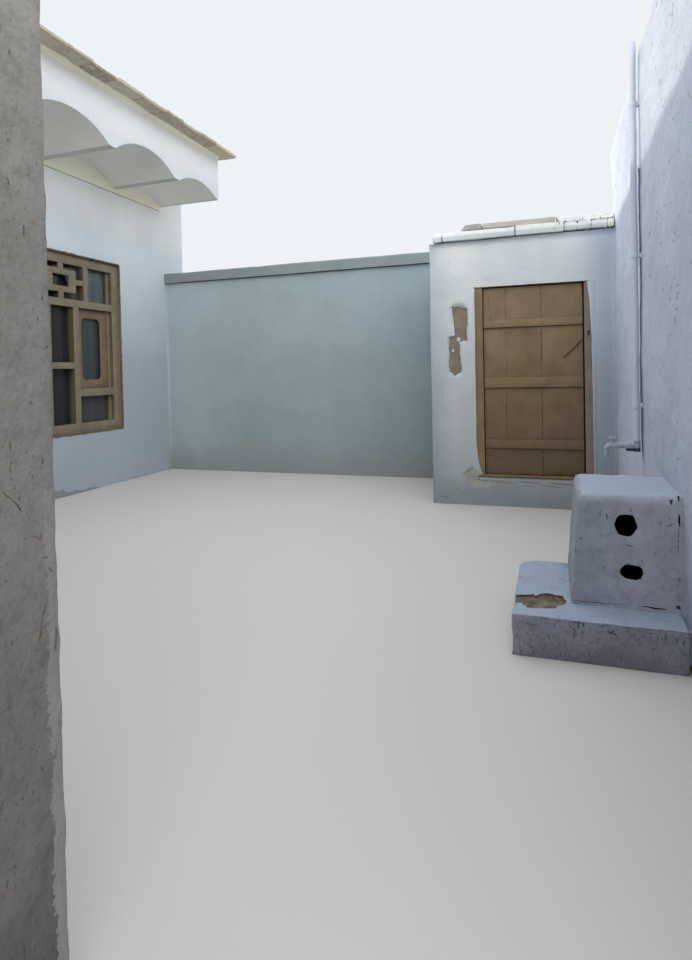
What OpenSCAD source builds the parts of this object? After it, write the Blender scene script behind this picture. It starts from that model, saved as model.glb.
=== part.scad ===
// Courtyard house of sun-dried brick: a main room wing with a scalloped canopy, a small
// store with a boarded door, and the walls that close the yard. X runs east, Y north,
// Z up, in millimetres, with the origin under the middle of the whole plan.

/* [Plan] */
// Depth of the main room wing, from its back face to its yard face
wing_depth = 4200; // [3600:50:5000]
// Length of the wing from south to north
wing_length = 7680; // [7480:20:8400]
// Clear width of the yard between the wing and the east wall
yard_width = 5892; // [5600:10:6600]
// Thickness of the wing's walls
wing_wall = 450; // [350:10:550]
// Thickness of the back wall
back_wall_t = 450; // [300:10:550]
// Thickness of the south wall
south_wall_t = 450; // [300:10:550]
// How far the south wall stands in from the wing's south end
south_wall_inset = 230; // [100:10:500]
// Thickness of the east wall
east_wall_t = 550; // [400:10:650]
// Clear width of the gateway in the south wall
gateway_w = 1570; // [1000:10:2000]

/* [Heights] */
// Height of the wing's walls, up to the roof slab
wing_wall_h = 4100; // [4040:10:4200]
// Thickness of the roof slab
slab_t = 150; // [100:10:200]
// Thickness of the mud layer on the slab
mud_t = 150; // [100:10:200]
// Thickness of the course along the roof's edge
edge_course_t = 50; // [40:5:80]
// How far the mud inside the edge course rises beside it
mud_rise = 30; // [10:5:35]
// Height of the wing's floor above the yard
room_floor_h = 300; // [150:10:400]
// Height of the yard walls, without their coping
yard_wall_h = 2712; // [2500:4:2900]
// Thickness of the yard walls' coping
coping_t = 146; // [80:2:180]
// How far the yard walls' coping stands out
coping_out = 40; // [20:5:80]
// Radius of the coping's worn upper edges
coping_edge_r = 25; // [5:5:40]
// Height of the east wall
east_wall_h = 3510; // [3000:10:4200]
// How far the east wall's outer face leans in at the top
east_batter = 100; // [0:10:160]
// How far the east wall's worn north end leans out above the store's coping
east_end_lean = 340; // [0:10:400]

/* [Canopy] */
// How far the canopy stands out from the wing
canopy_out = 946; // [600:2:1200]
// Width of a full scallop bay
bay_w = 1170; // [1000:10:1200]
// Number of full scallop bays
bay_count = 4; // [2:1:4]
// Width of the narrower bay at each end
end_bay_w = 991; // [800:1:1000]
// Radius of the scallops
scallop_r = 870; // [700:10:1200]
// Width of the flat nib between two scallops
nib_w = 100; // [60:5:140]
// Height of the canopy's fascia, from the nibs up to the roof's surface
canopy_h = 590; // [500:5:700]
// How far the edge course stands out beyond the canopy's front
edge_out_front = 233; // [100:1:300]
// How far the edge course stands out beyond the canopy's ends
edge_out_end = 130; // [60:5:200]
// How far the edge course stands out beyond the wing's walls
edge_out_wall = 60; // [40:5:120]
// Width of the edge course on plan
edge_course_w = 300; // [280:5:400]

/* [Window and room door] */
// Distance of the window's and the room door's centre lines from the wing's middle
opening_offset = 1426; // [1350:2:1600]
// Width of the window
window_w = 1910; // [1850:10:2000]
// Height of the window's lower edge
window_sill_z = 700; // [500:10:800]
// Height of the upper edge of the window and the room door
window_head_z = 2820; // [2800:10:2900]
// Setback of the window's frame from the wall's face
window_setback = 40; // [20:5:120]
// Depth of the front half of the frame
frame_front_d = 45; // [30:5:60]
// Depth of the back half of the frame
frame_back_d = 45; // [30:5:60]
// Width of the frame's outer stiles
stile_w = 120; // [80:5:140]
// How far the back half of the frame stands in from its front half
stop_w = 44; // [20:2:50]
// Height of the frame's bottom rail
bottom_rail_h = 120; // [80:5:140]
// Height of the frame's top rail
top_rail_h = 115; // [80:5:140]
// Height of the transom's lower edge
transom_z = 2207; // [2150:1:2220]
// Height of the transom bar
transom_h = 88; // [60:1:100]
// Half the clear width of the middle lights
mid_light_half = 170; // [140:5:200]
// Width of the lower mullions
mullion_w = 90; // [60:5:100]
// Height of the lower edge of the middle cross bar
mid_bar_z = 1475; // [1400:5:1550]
// Height of the middle cross bar
mid_bar_h = 74; // [50:2:90]
// Height of the lower edge of the rail under the casements
side_rail_z = 1141; // [1100:1:1200]
// Height of the rail under the casements
side_rail_h = 96; // [60:2:110]
// Half the clear width of the fretwork panel
fret_half = 350; // [330:5:380]
// Width of the mullions beside the fretwork
fret_mullion_w = 80; // [60:5:100]
// Clearance round each casement
casement_gap = 4; // [2:1:8]
// Width of the casement's stile beside the mullion
casement_near_stile = 51; // [40:1:60]
// Width of the casement's other stile
casement_far_stile = 146; // [80:1:160]
// Height of the casement's bottom rail
casement_bottom_rail = 101; // [70:1:120]
// Height of the casement's top rail
casement_top_rail = 108; // [70:1:120]
// Radius of the corners of the casement's glass
casement_corner_r = 70; // [20:5:90]
// Thickness of a casement
casement_t = 36; // [25:1:40]
// Depth of the fretwork bars
fret_t = 30; // [20:2:40]
// Thickness of the glass
glass_t = 6; // [4:1:10]
// Width of the room doorway
room_door_w = 1100; // [900:10:1200]
// Width of the room door frame's stiles
room_door_stile = 90; // [60:5:110]
// Thickness of the room door's leaf
room_door_t = 45; // [35:5:60]
// Width of the stiles and rails of the room door
room_door_rail = 130; // [100:5:160]
// Depth of the room door's panels below its face
room_door_recess = 12; // [6:1:15]

/* [Fretwork] */
// Half the width of the fretwork's square ring
ring_half_w = 225; // [200:5:250]
// Half the width of the pane inside the ring
ring_pane_half_w = 125; // [100:5:150]
// Height of the ring above the fretwork's lower edge
ring_low = 75; // [50:5:90]
// Height of the ring
ring_h = 270; // [240:5:300]
// Height of the pane inside the ring
ring_pane_h = 133; // [110:1:150]
// Width of the upright links above and below the ring
link_w = 70; // [50:2:90]
// Height of the level links beside the ring
link_h = 65; // [40:5:80]

/* [Store] */
// Width of the store along the yard's north side
store_w = 1748; // [1700:2:1900]
// Depth of the store from its front to its back face
store_depth = 1862; // [1750:2:2200]
// Thickness of the store's walls
store_wall = 350; // [300:10:400]
// Height of the store's walls
store_wall_h = 2655; // [2600:5:2800]
// Height of the store's roof surface
store_roof_z = 2560; // [2520:5:2590]
// Thickness of the store's roof
store_roof_t = 180; // [120:10:200]
// How far the store's roof bears on its walls
store_roof_bearing = 150; // [80:10:180]
// Height of the store's floor
store_floor_h = 285; // [200:5:320]
// Thickness of the lower coping course
lower_course_t = 100; // [60:5:130]
// How far the lower coping course stands in from the store's west face
lower_course_start = 50; // [0:5:150]
// Thickness of the upper coping course
upper_course_t = 65; // [40:5:90]
// How far the upper coping course stands in from the store's west face
upper_course_start = 324; // [200:4:400]
// Width of the upper coping course
upper_course_w = 300; // [200:10:340]
// Wall between the store's west corner and its doorway
door_pier_w = 455; // [400:5:500]
// Width of the store's doorway
doorway_w = 1098; // [1060:2:1140]
// Height of the head of the store's doorway
doorway_top = 2215; // [2100:5:2300]
// How far the east wall's tall part runs past the store's front
tall_part_past_front = 143; // [120:5:300]

/* [Store door] */
// Setback of the door frame from the wall's face
door_frame_setback = 10; // [4:2:40]
// Depth of the door frame
door_frame_d = 70; // [65:5:120]
// Width of the hinge jamb
hinge_jamb_w = 80; // [60:2:90]
// Width of the latch jamb
latch_jamb_w = 77; // [60:1:90]
// Height of the door frame's head
door_head_h = 36; // [30:2:60]
// Height of the threshold
threshold_h = 28; // [20:2:40]
// Gap beside the hinges
hinge_gap = 5; // [5:1:8]
// Gap beside the latch jamb
latch_gap = 11; // [9:1:14]
// Gap under the door
door_foot_gap = 6; // [5:1:15]
// Gap above the door
door_top_gap = 10; // [6:1:15]
// Thickness of the door's boards
board_t = 35; // [25:1:40]
// Thickness of the battens
batten_t = 24; // [15:1:26]
// Heights of the battens' lower edges above the door's foot
batten_low_z = 256; // [200:4:300]
// Height of the lower batten
batten_low_h = 89; // [60:1:110]
// Height of the middle batten's lower edge above the door's foot
batten_mid_z = 858; // [800:2:900]
// Height of the middle batten
batten_mid_h = 103; // [60:1:120]
// Height of the upper batten's lower edge above the door's foot
batten_top_z = 1455; // [1400:5:1500]
// Height of the upper batten
batten_top_h = 75; // [60:1:100]
// Radius of the hinge pins
hinge_pin_r = 6; // [5:0.5:8]
// Clearance between a hinge pin and its eye
hinge_clearance = 0.4; // [0.2:0.1:1]
// Wall of a hinge's barrel
hinge_wall = 4; // [3:0.5:5]
// Height of a hinge's eye
hinge_eye_h = 30; // [20:2:50]
// Height of the lower hinge above the door's foot
hinge_low_z = 280; // [200:10:400]
// Height of the upper hinge above the door's foot
hinge_high_z = 1500; // [1300:10:1600]
// Length of a hinge's strap on the door
hinge_strap_l = 260; // [120:10:400]
// Length of a hinge's plate on the jamb
hinge_plate_l = 70; // [40:5:75]
// Thickness of the hinges' plates and straps
hinge_plate_t = 4; // [3:1:6]
// Height of the middle of the staple above the door's foot
staple_z = 1371; // [1200:1:1500]
// Height and width of the staple's plate
staple_plate = 44; // [30:2:60]
// How far the staple's eye stands out
staple_out = 22; // [12:1:26]
// Length of the chain on the door
chain_l = 230; // [150:5:300]
// Width of the chain
chain_w = 9; // [6:1:12]
// Distance of the chain's upper end below the staple
chain_drop = 57; // [20:1:100]

/* [Yard fittings] */
// Width of the plinth from the east wall
plinth_w = 770; // [650:10:900]
// Length of the plinth along the east wall
plinth_l = 890; // [850:10:1200]
// Height of the plinth
plinth_h = 200; // [120:10:260]
// Radius of the plinth's worn back corner
plinth_corner_r = 110; // [20:10:160]
// Distance of the plinth from the south wall
plinth_from_south = 1930; // [1600:10:2200]
// Width of the masonry stand
stand_w = 497; // [400:1:560]
// Length of the masonry stand
stand_l = 630; // [500:10:700]
// Height of the masonry stand above its plinth
stand_h = 546; // [400:2:700]
// How far the top of the stand's west face leans in
stand_lean = 36; // [0:2:80]
// Radius of the stand's worn edges
stand_edge_r = 45; // [20:5:60]
// Distance of the round hole's middle from the stand's west face
stand_hole_x = 256; // [120:2:380]
// Height of the round hole's middle above the plinth
stand_hole_z = 398; // [300:2:440]
// Distance of the flat hole's middle from the stand's west face
stand_slot_x = 280; // [120:2:380]
// Height of the flat hole's middle above the plinth
stand_slot_z = 170; // [100:2:220]
// Distance of the stand's front from the plinth's front
stand_setback = 220; // [100:10:240]
// Radius of the round hole in the stand
stand_hole_r = 48; // [25:1:60]
// Radius of the rounded ends of the flat hole in the stand
stand_slot_r = 29; // [20:1:40]
// Length of the straight sides of the flat hole
stand_slot_l = 40; // [20:2:60]
// Depth of the two holes
stand_hole_d = 350; // [200:10:450]
// Radius of the standpipe
pipe_r = 20; // [15:1:30]
// Distance of the standpipe from the store's front
pipe_from_store = 1690; // [1200:10:2200]
// Clearance between the standpipe and the wall
pipe_gap = 14; // [8:1:30]
// Height of the pipe's foot, where the elbow begins
tap_z = 866; // [700:2:1000]
// Height of the elbow
tap_elbow_h = 76; // [50:2:100]
// Length of the tap's arm
tap_arm = 170; // [100:5:200]
// Radius of the tap's arm and spout
tap_r = 13; // [8:1:16]
// Length of the tap's spout
tap_spout = 70; // [40:5:80]
// Length of the tap's handle
tap_handle = 60; // [40:5:80]
// Height of the lowest pipe clip
clip_z = 1080; // [1000:10:1500]
// Distance between the pipe clips
clip_step = 1000; // [600:10:1200]
// Height of a pipe clip
clip_h = 40; // [10:2:60]
// Thickness of a pipe clip
clip_t = 3; // [2:1:5]

/* [Hidden] */
$fn = 48;
eps = 1;

total_x = edge_out_wall + wing_depth + yard_width + east_wall_t;
wing_x0 = -total_x / 2 + edge_out_wall;
wing_x1 = wing_x0 + wing_depth;
east_x = wing_x1 + yard_width;
north_y = wing_length / 2;
south_y = -north_y;
roof_z = wing_wall_h + slab_t + mud_t;
yard_north_y = north_y - back_wall_t;
south_wall_y = south_y + south_wall_inset;
yard_south_y = south_wall_y + south_wall_t;
gateway_x = east_x - gateway_w;

canopy_half = (bay_count * bay_w + nib_w) / 2 + end_bay_w - nib_w / 2;
fascia_x = wing_x1 + canopy_out;
nib_z = roof_z - canopy_h;

store_x = east_x - store_w;
store_y = north_y - store_depth;
doorway_x0 = store_x + door_pier_w;
doorway_x1 = doorway_x0 + doorway_w;
store_in_y = store_y + store_wall;
store_course_z = store_wall_h + lower_course_t;

window_y = opening_offset;
room_door_y = -opening_offset;
frame_x1 = wing_x1 - window_setback;
frame_mid_x = frame_x1 - frame_front_d;
frame_x0 = frame_mid_x - frame_back_d;
light_top_z = window_head_z - top_rail_h;
light_low_z = window_sill_z + bottom_rail_h;
upper_light_z = transom_z + transom_h;
window_half = window_w / 2;
light_half = window_half - stile_w;
side_light_y = mid_light_half + mullion_w;
upper_side_y = fret_half + fret_mullion_w;

frame_y = store_y + door_frame_setback;
leaf_x0 = doorway_x0 + hinge_jamb_w + hinge_gap;
leaf_x1 = doorway_x1 - latch_jamb_w - latch_gap;
leaf_z0 = store_floor_h + threshold_h + door_foot_gap;
leaf_z1 = doorway_top - door_head_h - door_top_gap;
leaf_y1 = frame_y + door_frame_d;
leaf_y0 = leaf_y1 - board_t;
leaf_h = leaf_z1 - leaf_z0;
eye_r = hinge_pin_r + hinge_clearance + hinge_wall;
pin_x = leaf_x0 - hinge_gap / 2;
pin_y = leaf_y1 + hinge_plate_t / 2 + eye_r;
hinge_zs = [leaf_z0 + hinge_low_z, leaf_z0 + hinge_high_z];

plinth_x = east_x - plinth_w;
plinth_y = yard_south_y + plinth_from_south;
stand_x = east_x - stand_w;
stand_y = plinth_y + stand_setback;
pipe_y = store_y - pipe_from_store;
pipe_x = east_x - pipe_gap - pipe_r;
tall_end_y = store_y + tall_part_past_front;

module box(x0, y0, z0, x1, y1, z1) {
    translate([x0, y0, z0]) cube([x1 - x0, y1 - y0, z1 - z0]);
}

// A panel that stands in the plane of the wing's front, drawn as [y, z]
module front_panel(x0, x1) {
    translate([x0, 0, 0]) rotate([90, 0, 90]) linear_extrude(x1 - x0) children();
}

module rect(y0, z0, y1, z1) {
    translate([y0, z0]) square([y1 - y0, z1 - z0]);
}

module mirrored_rects(y0, z0, y1, z1) {
    rect(y0, z0, y1, z1);
    rect(-y1, z0, -y0, z1);
}

module wing_front_wall() {
    color("#e9ebea") front_panel(wing_x1 - wing_wall, wing_x1) difference() {
        rect(south_y, 0, north_y, wing_wall_h);
        rect(window_y - window_half, window_sill_z, window_y + window_half, window_head_z);
        rect(room_door_y - room_door_w / 2, room_floor_h, room_door_y + room_door_w / 2, window_head_z);
    }
}

module wing_end_wall(y0) {
    color("#e9ebea")
        box(wing_x0 + wing_wall, y0, 0, wing_x1 - wing_wall, y0 + wing_wall, wing_wall_h);
}

module wing_north_wall() {
    wing_end_wall(north_y - wing_wall);
}

module wing_south_wall() {
    wing_end_wall(south_y);
}

module wing_back_wall() {
    color("#e9ebea") box(wing_x0, south_y, 0, wing_x0 + wing_wall, north_y, wing_wall_h);
}

module wing_floor() {
    color("#a89c8a") box(wing_x0 + wing_wall, south_y + wing_wall, 0,
        wing_x1 - wing_wall, north_y - wing_wall, room_floor_h);
}

module wing_roof_slab() {
    color("#cfcfca") box(wing_x0, south_y, wing_wall_h, wing_x1, north_y, wing_wall_h + slab_t);
}

// The outline of the wing and its canopy, grown by the given overhangs
module roof_outline(wall, front, end) {
    translate([wing_x0 - wall, south_y - wall])
        square([wing_depth + 2 * wall, wing_length + 2 * wall]);
    translate([wing_x1 - edge_course_w, -canopy_half - end])
        square([canopy_out + edge_course_w + front, 2 * (canopy_half + end)]);
}

module inner_roof_outline() {
    roof_outline(edge_out_wall - edge_course_w, edge_out_front - edge_course_w,
        edge_out_end - edge_course_w);
}

module wing_mud_roof() {
    color("#9a8f7e") {
        box(wing_x0, south_y, wing_wall_h + slab_t, wing_x1, north_y, roof_z);
        translate([0, 0, roof_z]) linear_extrude(mud_rise) inner_roof_outline();
    }
}

module roof_edge_course() {
    color("#aba8a5") translate([0, 0, roof_z]) linear_extrude(edge_course_t) difference() {
        roof_outline(edge_out_wall, edge_out_front, edge_out_end);
        inner_roof_outline();
    }
}

// One scallop is a round bite of the given clear width out of the canopy's underside
module scallop(middle, clear_w) {
    translate([middle, nib_z - sqrt(pow(scallop_r, 2) - pow(clear_w / 2, 2))])
        circle(r = scallop_r, $fn = 96);
}

module canopy() {
    color("#eceeed") front_panel(wing_x1, fascia_x) difference() {
        rect(-canopy_half, nib_z, canopy_half, roof_z);
        for (i = [0 : bay_count - 1])
            scallop((i - (bay_count - 1) / 2) * bay_w, bay_w - nib_w);
        for (side = [-1, 1])
            scallop(side * (bay_count * bay_w + end_bay_w) / 2, end_bay_w - nib_w);
    }
}

// The clear lights of the window, about its own centre line
module window_lights(inset) {
    mirrored_rects(side_light_y, light_low_z, light_half - inset, side_rail_z);
    mirrored_rects(side_light_y, side_rail_z + side_rail_h, light_half - inset, transom_z);
    mirrored_rects(upper_side_y, upper_light_z, light_half - inset, light_top_z);
    rect(-mid_light_half, light_low_z, mid_light_half, mid_bar_z);
    rect(-mid_light_half, mid_bar_z + mid_bar_h, mid_light_half, transom_z);
    rect(-fret_half, upper_light_z, fret_half, light_top_z);
}

module window_frame() {
    color("#8c7b56") {
        translate([0, window_y, 0]) front_panel(frame_mid_x, frame_x1) difference() {
            rect(-window_half, window_sill_z, window_half, window_head_z);
            window_lights(0);
        }
        translate([0, window_y, 0]) front_panel(frame_x0, frame_mid_x) difference() {
            rect(-window_half, window_sill_z, window_half, window_head_z);
            window_lights(stop_w);
        }
    }
}

module window_lattice() {
    ring_z0 = upper_light_z + ring_low;
    ring_z1 = ring_z0 + ring_h;
    pane_z0 = ring_z0 + (ring_h - ring_pane_h) / 2;
    middle_z = ring_z0 + ring_h / 2;
    color("#8c7b56") translate([0, window_y, 0]) front_panel(frame_x1 - fret_t, frame_x1) {
        difference() {
            rect(-ring_half_w, ring_z0, ring_half_w, ring_z1);
            rect(-ring_pane_half_w, pane_z0, ring_pane_half_w, pane_z0 + ring_pane_h);
        }
        rect(-link_w / 2, upper_light_z, link_w / 2, ring_z0);
        rect(-link_w / 2, ring_z1, link_w / 2, light_top_z);
        mirrored_rects(ring_half_w, middle_z - link_h / 2, fret_half, middle_z + link_h / 2);
    }
}

module rounded_rect(y0, z0, y1, z1, r) {
    rect(y0 + r, z0, y1 - r, z1);
    rect(y0, z0 + r, y1, z1 - r);
    for (y = [y0 + r, y1 - r])
        for (z = [z0 + r, z1 - r])
            translate([y, z]) circle(r = r);
}

module casement() {
    y0 = side_light_y + casement_gap;
    y1 = light_half - casement_gap;
    z0 = side_rail_z + side_rail_h + casement_gap;
    z1 = transom_z - casement_gap;
    color("#a08f68") front_panel(frame_mid_x, frame_mid_x + casement_t) difference() {
        rect(y0, z0, y1, z1);
        rounded_rect(y0 + casement_near_stile, z0 + casement_bottom_rail,
            y1 - casement_far_stile, z1 - casement_top_rail, casement_corner_r);
    }
}

module casement_north() {
    translate([0, window_y, 0]) casement();
}

module casement_south() {
    translate([0, window_y, 0]) mirror([0, 1, 0]) casement();
}

module window_glass() {
    half = light_half - stop_w;
    color("#2f3a3d", 0.5) {
        translate([0, window_y, 0]) front_panel(frame_x0 - glass_t, frame_x0)
            rect(-half, light_low_z, half, light_top_z);
        translate([0, room_door_y, 0]) front_panel(frame_x0 - glass_t, frame_x0)
            rect(room_door_stile - room_door_w / 2, upper_light_z,
                room_door_w / 2 - room_door_stile, light_top_z);
    }
}

module room_door_frame() {
    half = room_door_w / 2;
    clear = half - room_door_stile;
    color("#8c7b56") translate([0, room_door_y, 0]) front_panel(frame_x0, frame_x1) difference() {
        rect(-half, room_floor_h, half, window_head_z);
        rect(-clear, room_floor_h, clear, transom_z);
        rect(-clear, upper_light_z, clear, light_top_z);
    }
}

module room_door() {
    clear = room_door_w / 2 - room_door_stile;
    x0 = frame_mid_x - room_door_t / 2;
    x1 = frame_mid_x + room_door_t / 2;
    lock_rail_z = room_floor_h + (transom_z - room_floor_h) / 2;
    color("#a08f68") translate([0, room_door_y, 0]) {
        front_panel(x0 + room_door_recess, x1 - room_door_recess)
            rect(-clear, room_floor_h, clear, transom_z);
        front_panel(x0, x1) difference() {
            rect(-clear, room_floor_h, clear, transom_z);
            for (z = [room_floor_h, lock_rail_z - room_door_rail / 2])
                mirrored_rects(room_door_rail / 2, z + room_door_rail,
                    clear - room_door_rail, z + (transom_z - room_floor_h - room_door_rail) / 2);
        }
    }
}

module back_wall() {
    color("#dfe4e4") box(wing_x1, yard_north_y, 0, store_x, north_y, yard_wall_h);
}

module yard_coping(x0, x1, y0, y1) {
    color("#e2e6e8") front_panel(x0, x1)
        worn_top(y0 - coping_out, y1 + coping_out, yard_wall_h, yard_wall_h + coping_t,
            coping_edge_r);
}

module back_wall_coping() {
    yard_coping(wing_x1, store_x, yard_north_y, north_y);
}

module south_wall() {
    color("#d8dada") box(wing_x1, south_wall_y, 0, gateway_x, yard_south_y, yard_wall_h);
}

module south_wall_coping() {
    yard_coping(wing_x1, gateway_x + coping_out, south_wall_y, yard_south_y);
}

module store_roof_space() {
    box(store_x + store_wall - store_roof_bearing, store_in_y - store_roof_bearing,
        store_roof_z - store_roof_t,
        east_x, north_y - store_wall + store_roof_bearing, store_roof_z);
}

module above_roof_bearing() {
    box(store_x + store_wall - store_roof_bearing, store_in_y - store_roof_bearing,
        store_roof_z - eps,
        east_x, north_y - store_wall + store_roof_bearing, store_wall_h + eps);
}

module store_front_left() {
    color("#e4e8ea") box(store_x, store_y, 0, doorway_x0, store_in_y, doorway_top);
}

module store_front_right() {
    color("#e4e8ea") box(doorway_x1, store_y, 0, east_x, store_in_y, doorway_top);
}

module store_front_over_door() {
    color("#e4e8ea") difference() {
        box(store_x, store_y, doorway_top, east_x, store_in_y, store_wall_h);
        store_roof_space();
        above_roof_bearing();
    }
    // The plaster comes down over the head of the door frame
    color("#e4e8ea")
        box(doorway_x0, store_y, doorway_top - door_head_h, doorway_x1, frame_y, doorway_top);
}

module store_sill() {
    color("#d6dadc") box(doorway_x0, store_y, 0, doorway_x1, store_in_y, store_floor_h);
}

module store_west_wall() {
    color("#dfe4e4") difference() {
        box(store_x, store_in_y, 0, store_x + store_wall, north_y - store_wall, store_wall_h);
        store_roof_space();
        above_roof_bearing();
    }
}

module store_back_wall() {
    color("#dfe4e4") difference() {
        box(store_x, north_y - store_wall, 0, east_x, north_y, store_wall_h);
        store_roof_space();
        above_roof_bearing();
    }
}

module store_floor() {
    color("#a89c8a") box(store_x + store_wall, store_in_y, 0,
        east_x, north_y - store_wall, store_floor_h);
}

module store_roof() {
    color("#9a8f7e") store_roof_space();
}

module store_coping_lower() {
    color("#e6e9ea") translate([0, 0, store_wall_h]) linear_extrude(lower_course_t) difference() {
        union() {
            translate([store_x + lower_course_start, store_y - coping_out])
                square([store_w - lower_course_start, store_depth + 2 * coping_out]);
            translate([east_x, tall_end_y])
                square([east_wall_t, north_y + coping_out - tall_end_y]);
        }
        translate([store_x + store_wall, store_in_y])
            square([store_w - store_wall, store_depth - 2 * store_wall]);
    }
}

module store_coping_upper() {
    color("#b9aca0") box(store_x + upper_course_start, store_y, store_course_z,
        east_x, store_y + upper_course_w, store_course_z + upper_course_t);
}

module store_door_frame() {
    color("#7d6a50") {
        box(doorway_x0, frame_y, store_floor_h,
            doorway_x0 + hinge_jamb_w, leaf_y1, doorway_top);
        box(doorway_x1 - latch_jamb_w, frame_y, store_floor_h,
            doorway_x1, leaf_y1, doorway_top);
        box(doorway_x0, frame_y, doorway_top - door_head_h, doorway_x1, leaf_y1, doorway_top);
        box(doorway_x0, frame_y, store_floor_h, doorway_x1, leaf_y1, store_floor_h + threshold_h);
    }
}

module store_door_leaf() {
    color("#8d7453") box(leaf_x0, leaf_y0, leaf_z0, leaf_x1, leaf_y1, leaf_z1);
}

module store_door_battens() {
    color("#826b4c")
        for (b = [[batten_low_z, batten_low_h], [batten_mid_z, batten_mid_h],
                  [batten_top_z, batten_top_h]])
            box(leaf_x0, leaf_y0 - batten_t, leaf_z0 + b[0],
                leaf_x1, leaf_y0, leaf_z0 + b[0] + b[1]);
}

module door_hinge_pins() {
    boss_h = 0.4 * hinge_eye_h;
    color("#5a5048")
        for (z = hinge_zs) {
            box(pin_x - hinge_plate_l, leaf_y1, z - hinge_eye_h, pin_x, leaf_y1 + hinge_plate_t, z);
            translate([pin_x, pin_y, z - boss_h]) cylinder(r = eye_r, h = boss_h);
            translate([pin_x, pin_y, z]) cylinder(r = hinge_pin_r, h = 1.2 * hinge_eye_h);
        }
}

module door_hinge_eyes() {
    color("#5a5048")
        for (z = hinge_zs)
            difference() {
                union() {
                    translate([pin_x, pin_y, z + hinge_clearance]) cylinder(r = eye_r, h = hinge_eye_h);
                    box(leaf_x0, leaf_y1, z + hinge_clearance,
                        leaf_x0 + hinge_strap_l, leaf_y1 + hinge_plate_t,
                        z + hinge_clearance + hinge_eye_h);
                }
                translate([pin_x, pin_y, z])
                    cylinder(r = hinge_pin_r + hinge_clearance, h = 1.2 * hinge_eye_h);
            }
}

module door_staple() {
    x = doorway_x1 - latch_jamb_w / 2;
    z = leaf_z0 + staple_z;
    color("#4c443e") {
        box(x - staple_plate / 4, frame_y - staple_out / 5, z - staple_plate / 2,
            x + staple_plate / 4, frame_y, z + staple_plate / 2);
        box(x - staple_plate / 8, frame_y - staple_out, z - staple_plate / 8,
            x + staple_plate / 8, frame_y, z + staple_plate / 8);
    }
}

module door_chain() {
    color("#4c443e") translate([leaf_x1 - chain_w, leaf_y0, leaf_z0 + staple_z - chain_drop])
        rotate([90, -45, 0]) translate([-chain_l, -chain_w, 0]) cube([chain_l, chain_w, chain_w]);
}

module east_wall() {
    color("#d5d9e0") intersection() {
        translate([0, north_y, 0]) rotate([90, 0, 0]) linear_extrude(wing_length) polygon([
            [east_x, 0], [east_x + east_wall_t, 0],
            [east_x + east_wall_t - east_batter, east_wall_h], [east_x, east_wall_h]
        ]);
        front_panel(east_x, east_x + east_wall_t) polygon([
            [south_wall_y, 0], [tall_end_y, 0], [tall_end_y, store_course_z],
            [tall_end_y + east_end_lean, (store_course_z + 3 * east_wall_h) / 4],
            [tall_end_y + east_end_lean, east_wall_h], [south_wall_y, east_wall_h]
        ]);
    }
}

module east_wall_north() {
    color("#d5d9e0") box(east_x, tall_end_y, 0, east_x + east_wall_t, north_y, store_wall_h);
}

module standpipe() {
    color("#cdd2da") translate([pipe_x, pipe_y, tap_z])
        cylinder(r = pipe_r, h = east_wall_h - tap_z);
}

module pipe_clips() {
    color("#8e8f94")
        for (i = [0 : 2])
            translate([pipe_x, pipe_y, clip_z + i * clip_step]) difference() {
                union() {
                    cylinder(r = pipe_r + clip_t, h = clip_h);
                    translate([0, -clip_h / 3, 0])
                        cube([pipe_r + pipe_gap, 2 * clip_h / 3, clip_h]);
                }
                translate([0, 0, -eps]) cylinder(r = pipe_r, h = clip_h + 2 * eps);
            }
}

// The elbow at the pipe's foot, the arm, the spout and the handle's spindle and bar
module water_tap() {
    arm_z = tap_z - tap_elbow_h / 2;
    spout_x = pipe_x - pipe_r - tap_arm;
    spindle_x = spout_x + 3 * tap_r;
    color("#cdd2da") translate([0, pipe_y, 0]) {
        translate([pipe_x, 0, tap_z - tap_elbow_h]) cylinder(r = pipe_r + clip_t, h = tap_elbow_h);
        translate([spout_x, 0, arm_z]) rotate([0, 90, 0]) cylinder(r = tap_r, h = tap_arm + pipe_r);
        translate([spout_x, 0, arm_z - tap_spout]) cylinder(r = tap_r, h = tap_spout + tap_r);
        translate([spindle_x, 0, arm_z]) cylinder(r = 0.7 * tap_r, h = 3.5 * tap_r);
        translate([spindle_x - tap_handle / 2, -tap_r / 2, arm_z + 3.5 * tap_r])
            cube([tap_handle, tap_r, tap_r]);
    }
}

module stand_plinth() {
    r = plinth_corner_r;
    color("#c3c6cc") linear_extrude(plinth_h) {
        translate([plinth_x, plinth_y]) square([plinth_w, plinth_l - r]);
        translate([plinth_x + r, plinth_y]) square([plinth_w - r, plinth_l]);
        translate([plinth_x + r, plinth_y + plinth_l - r]) circle(r = r);
    }
}

// An upright outline from a to b with both its top corners worn to the radius r
module worn_top(a, b, bottom, top, r) {
    rect(a, bottom, b, top - r);
    rect(a + r, bottom, b - r, top);
    for (u = [a + r, b - r])
        translate([u, top - r]) circle(r = r);
}

// The stand seen from the south: its west face leans in, its outer top corner is worn
module stand_outline(z1) {
    top_x = stand_x + stand_lean;
    polygon([
        [stand_x, plinth_h], [east_x, plinth_h], [east_x, z1],
        [top_x + stand_edge_r, z1], [top_x, z1 - stand_edge_r]
    ]);
    translate([top_x + stand_edge_r, z1 - stand_edge_r]) circle(r = stand_edge_r);
}

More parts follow.
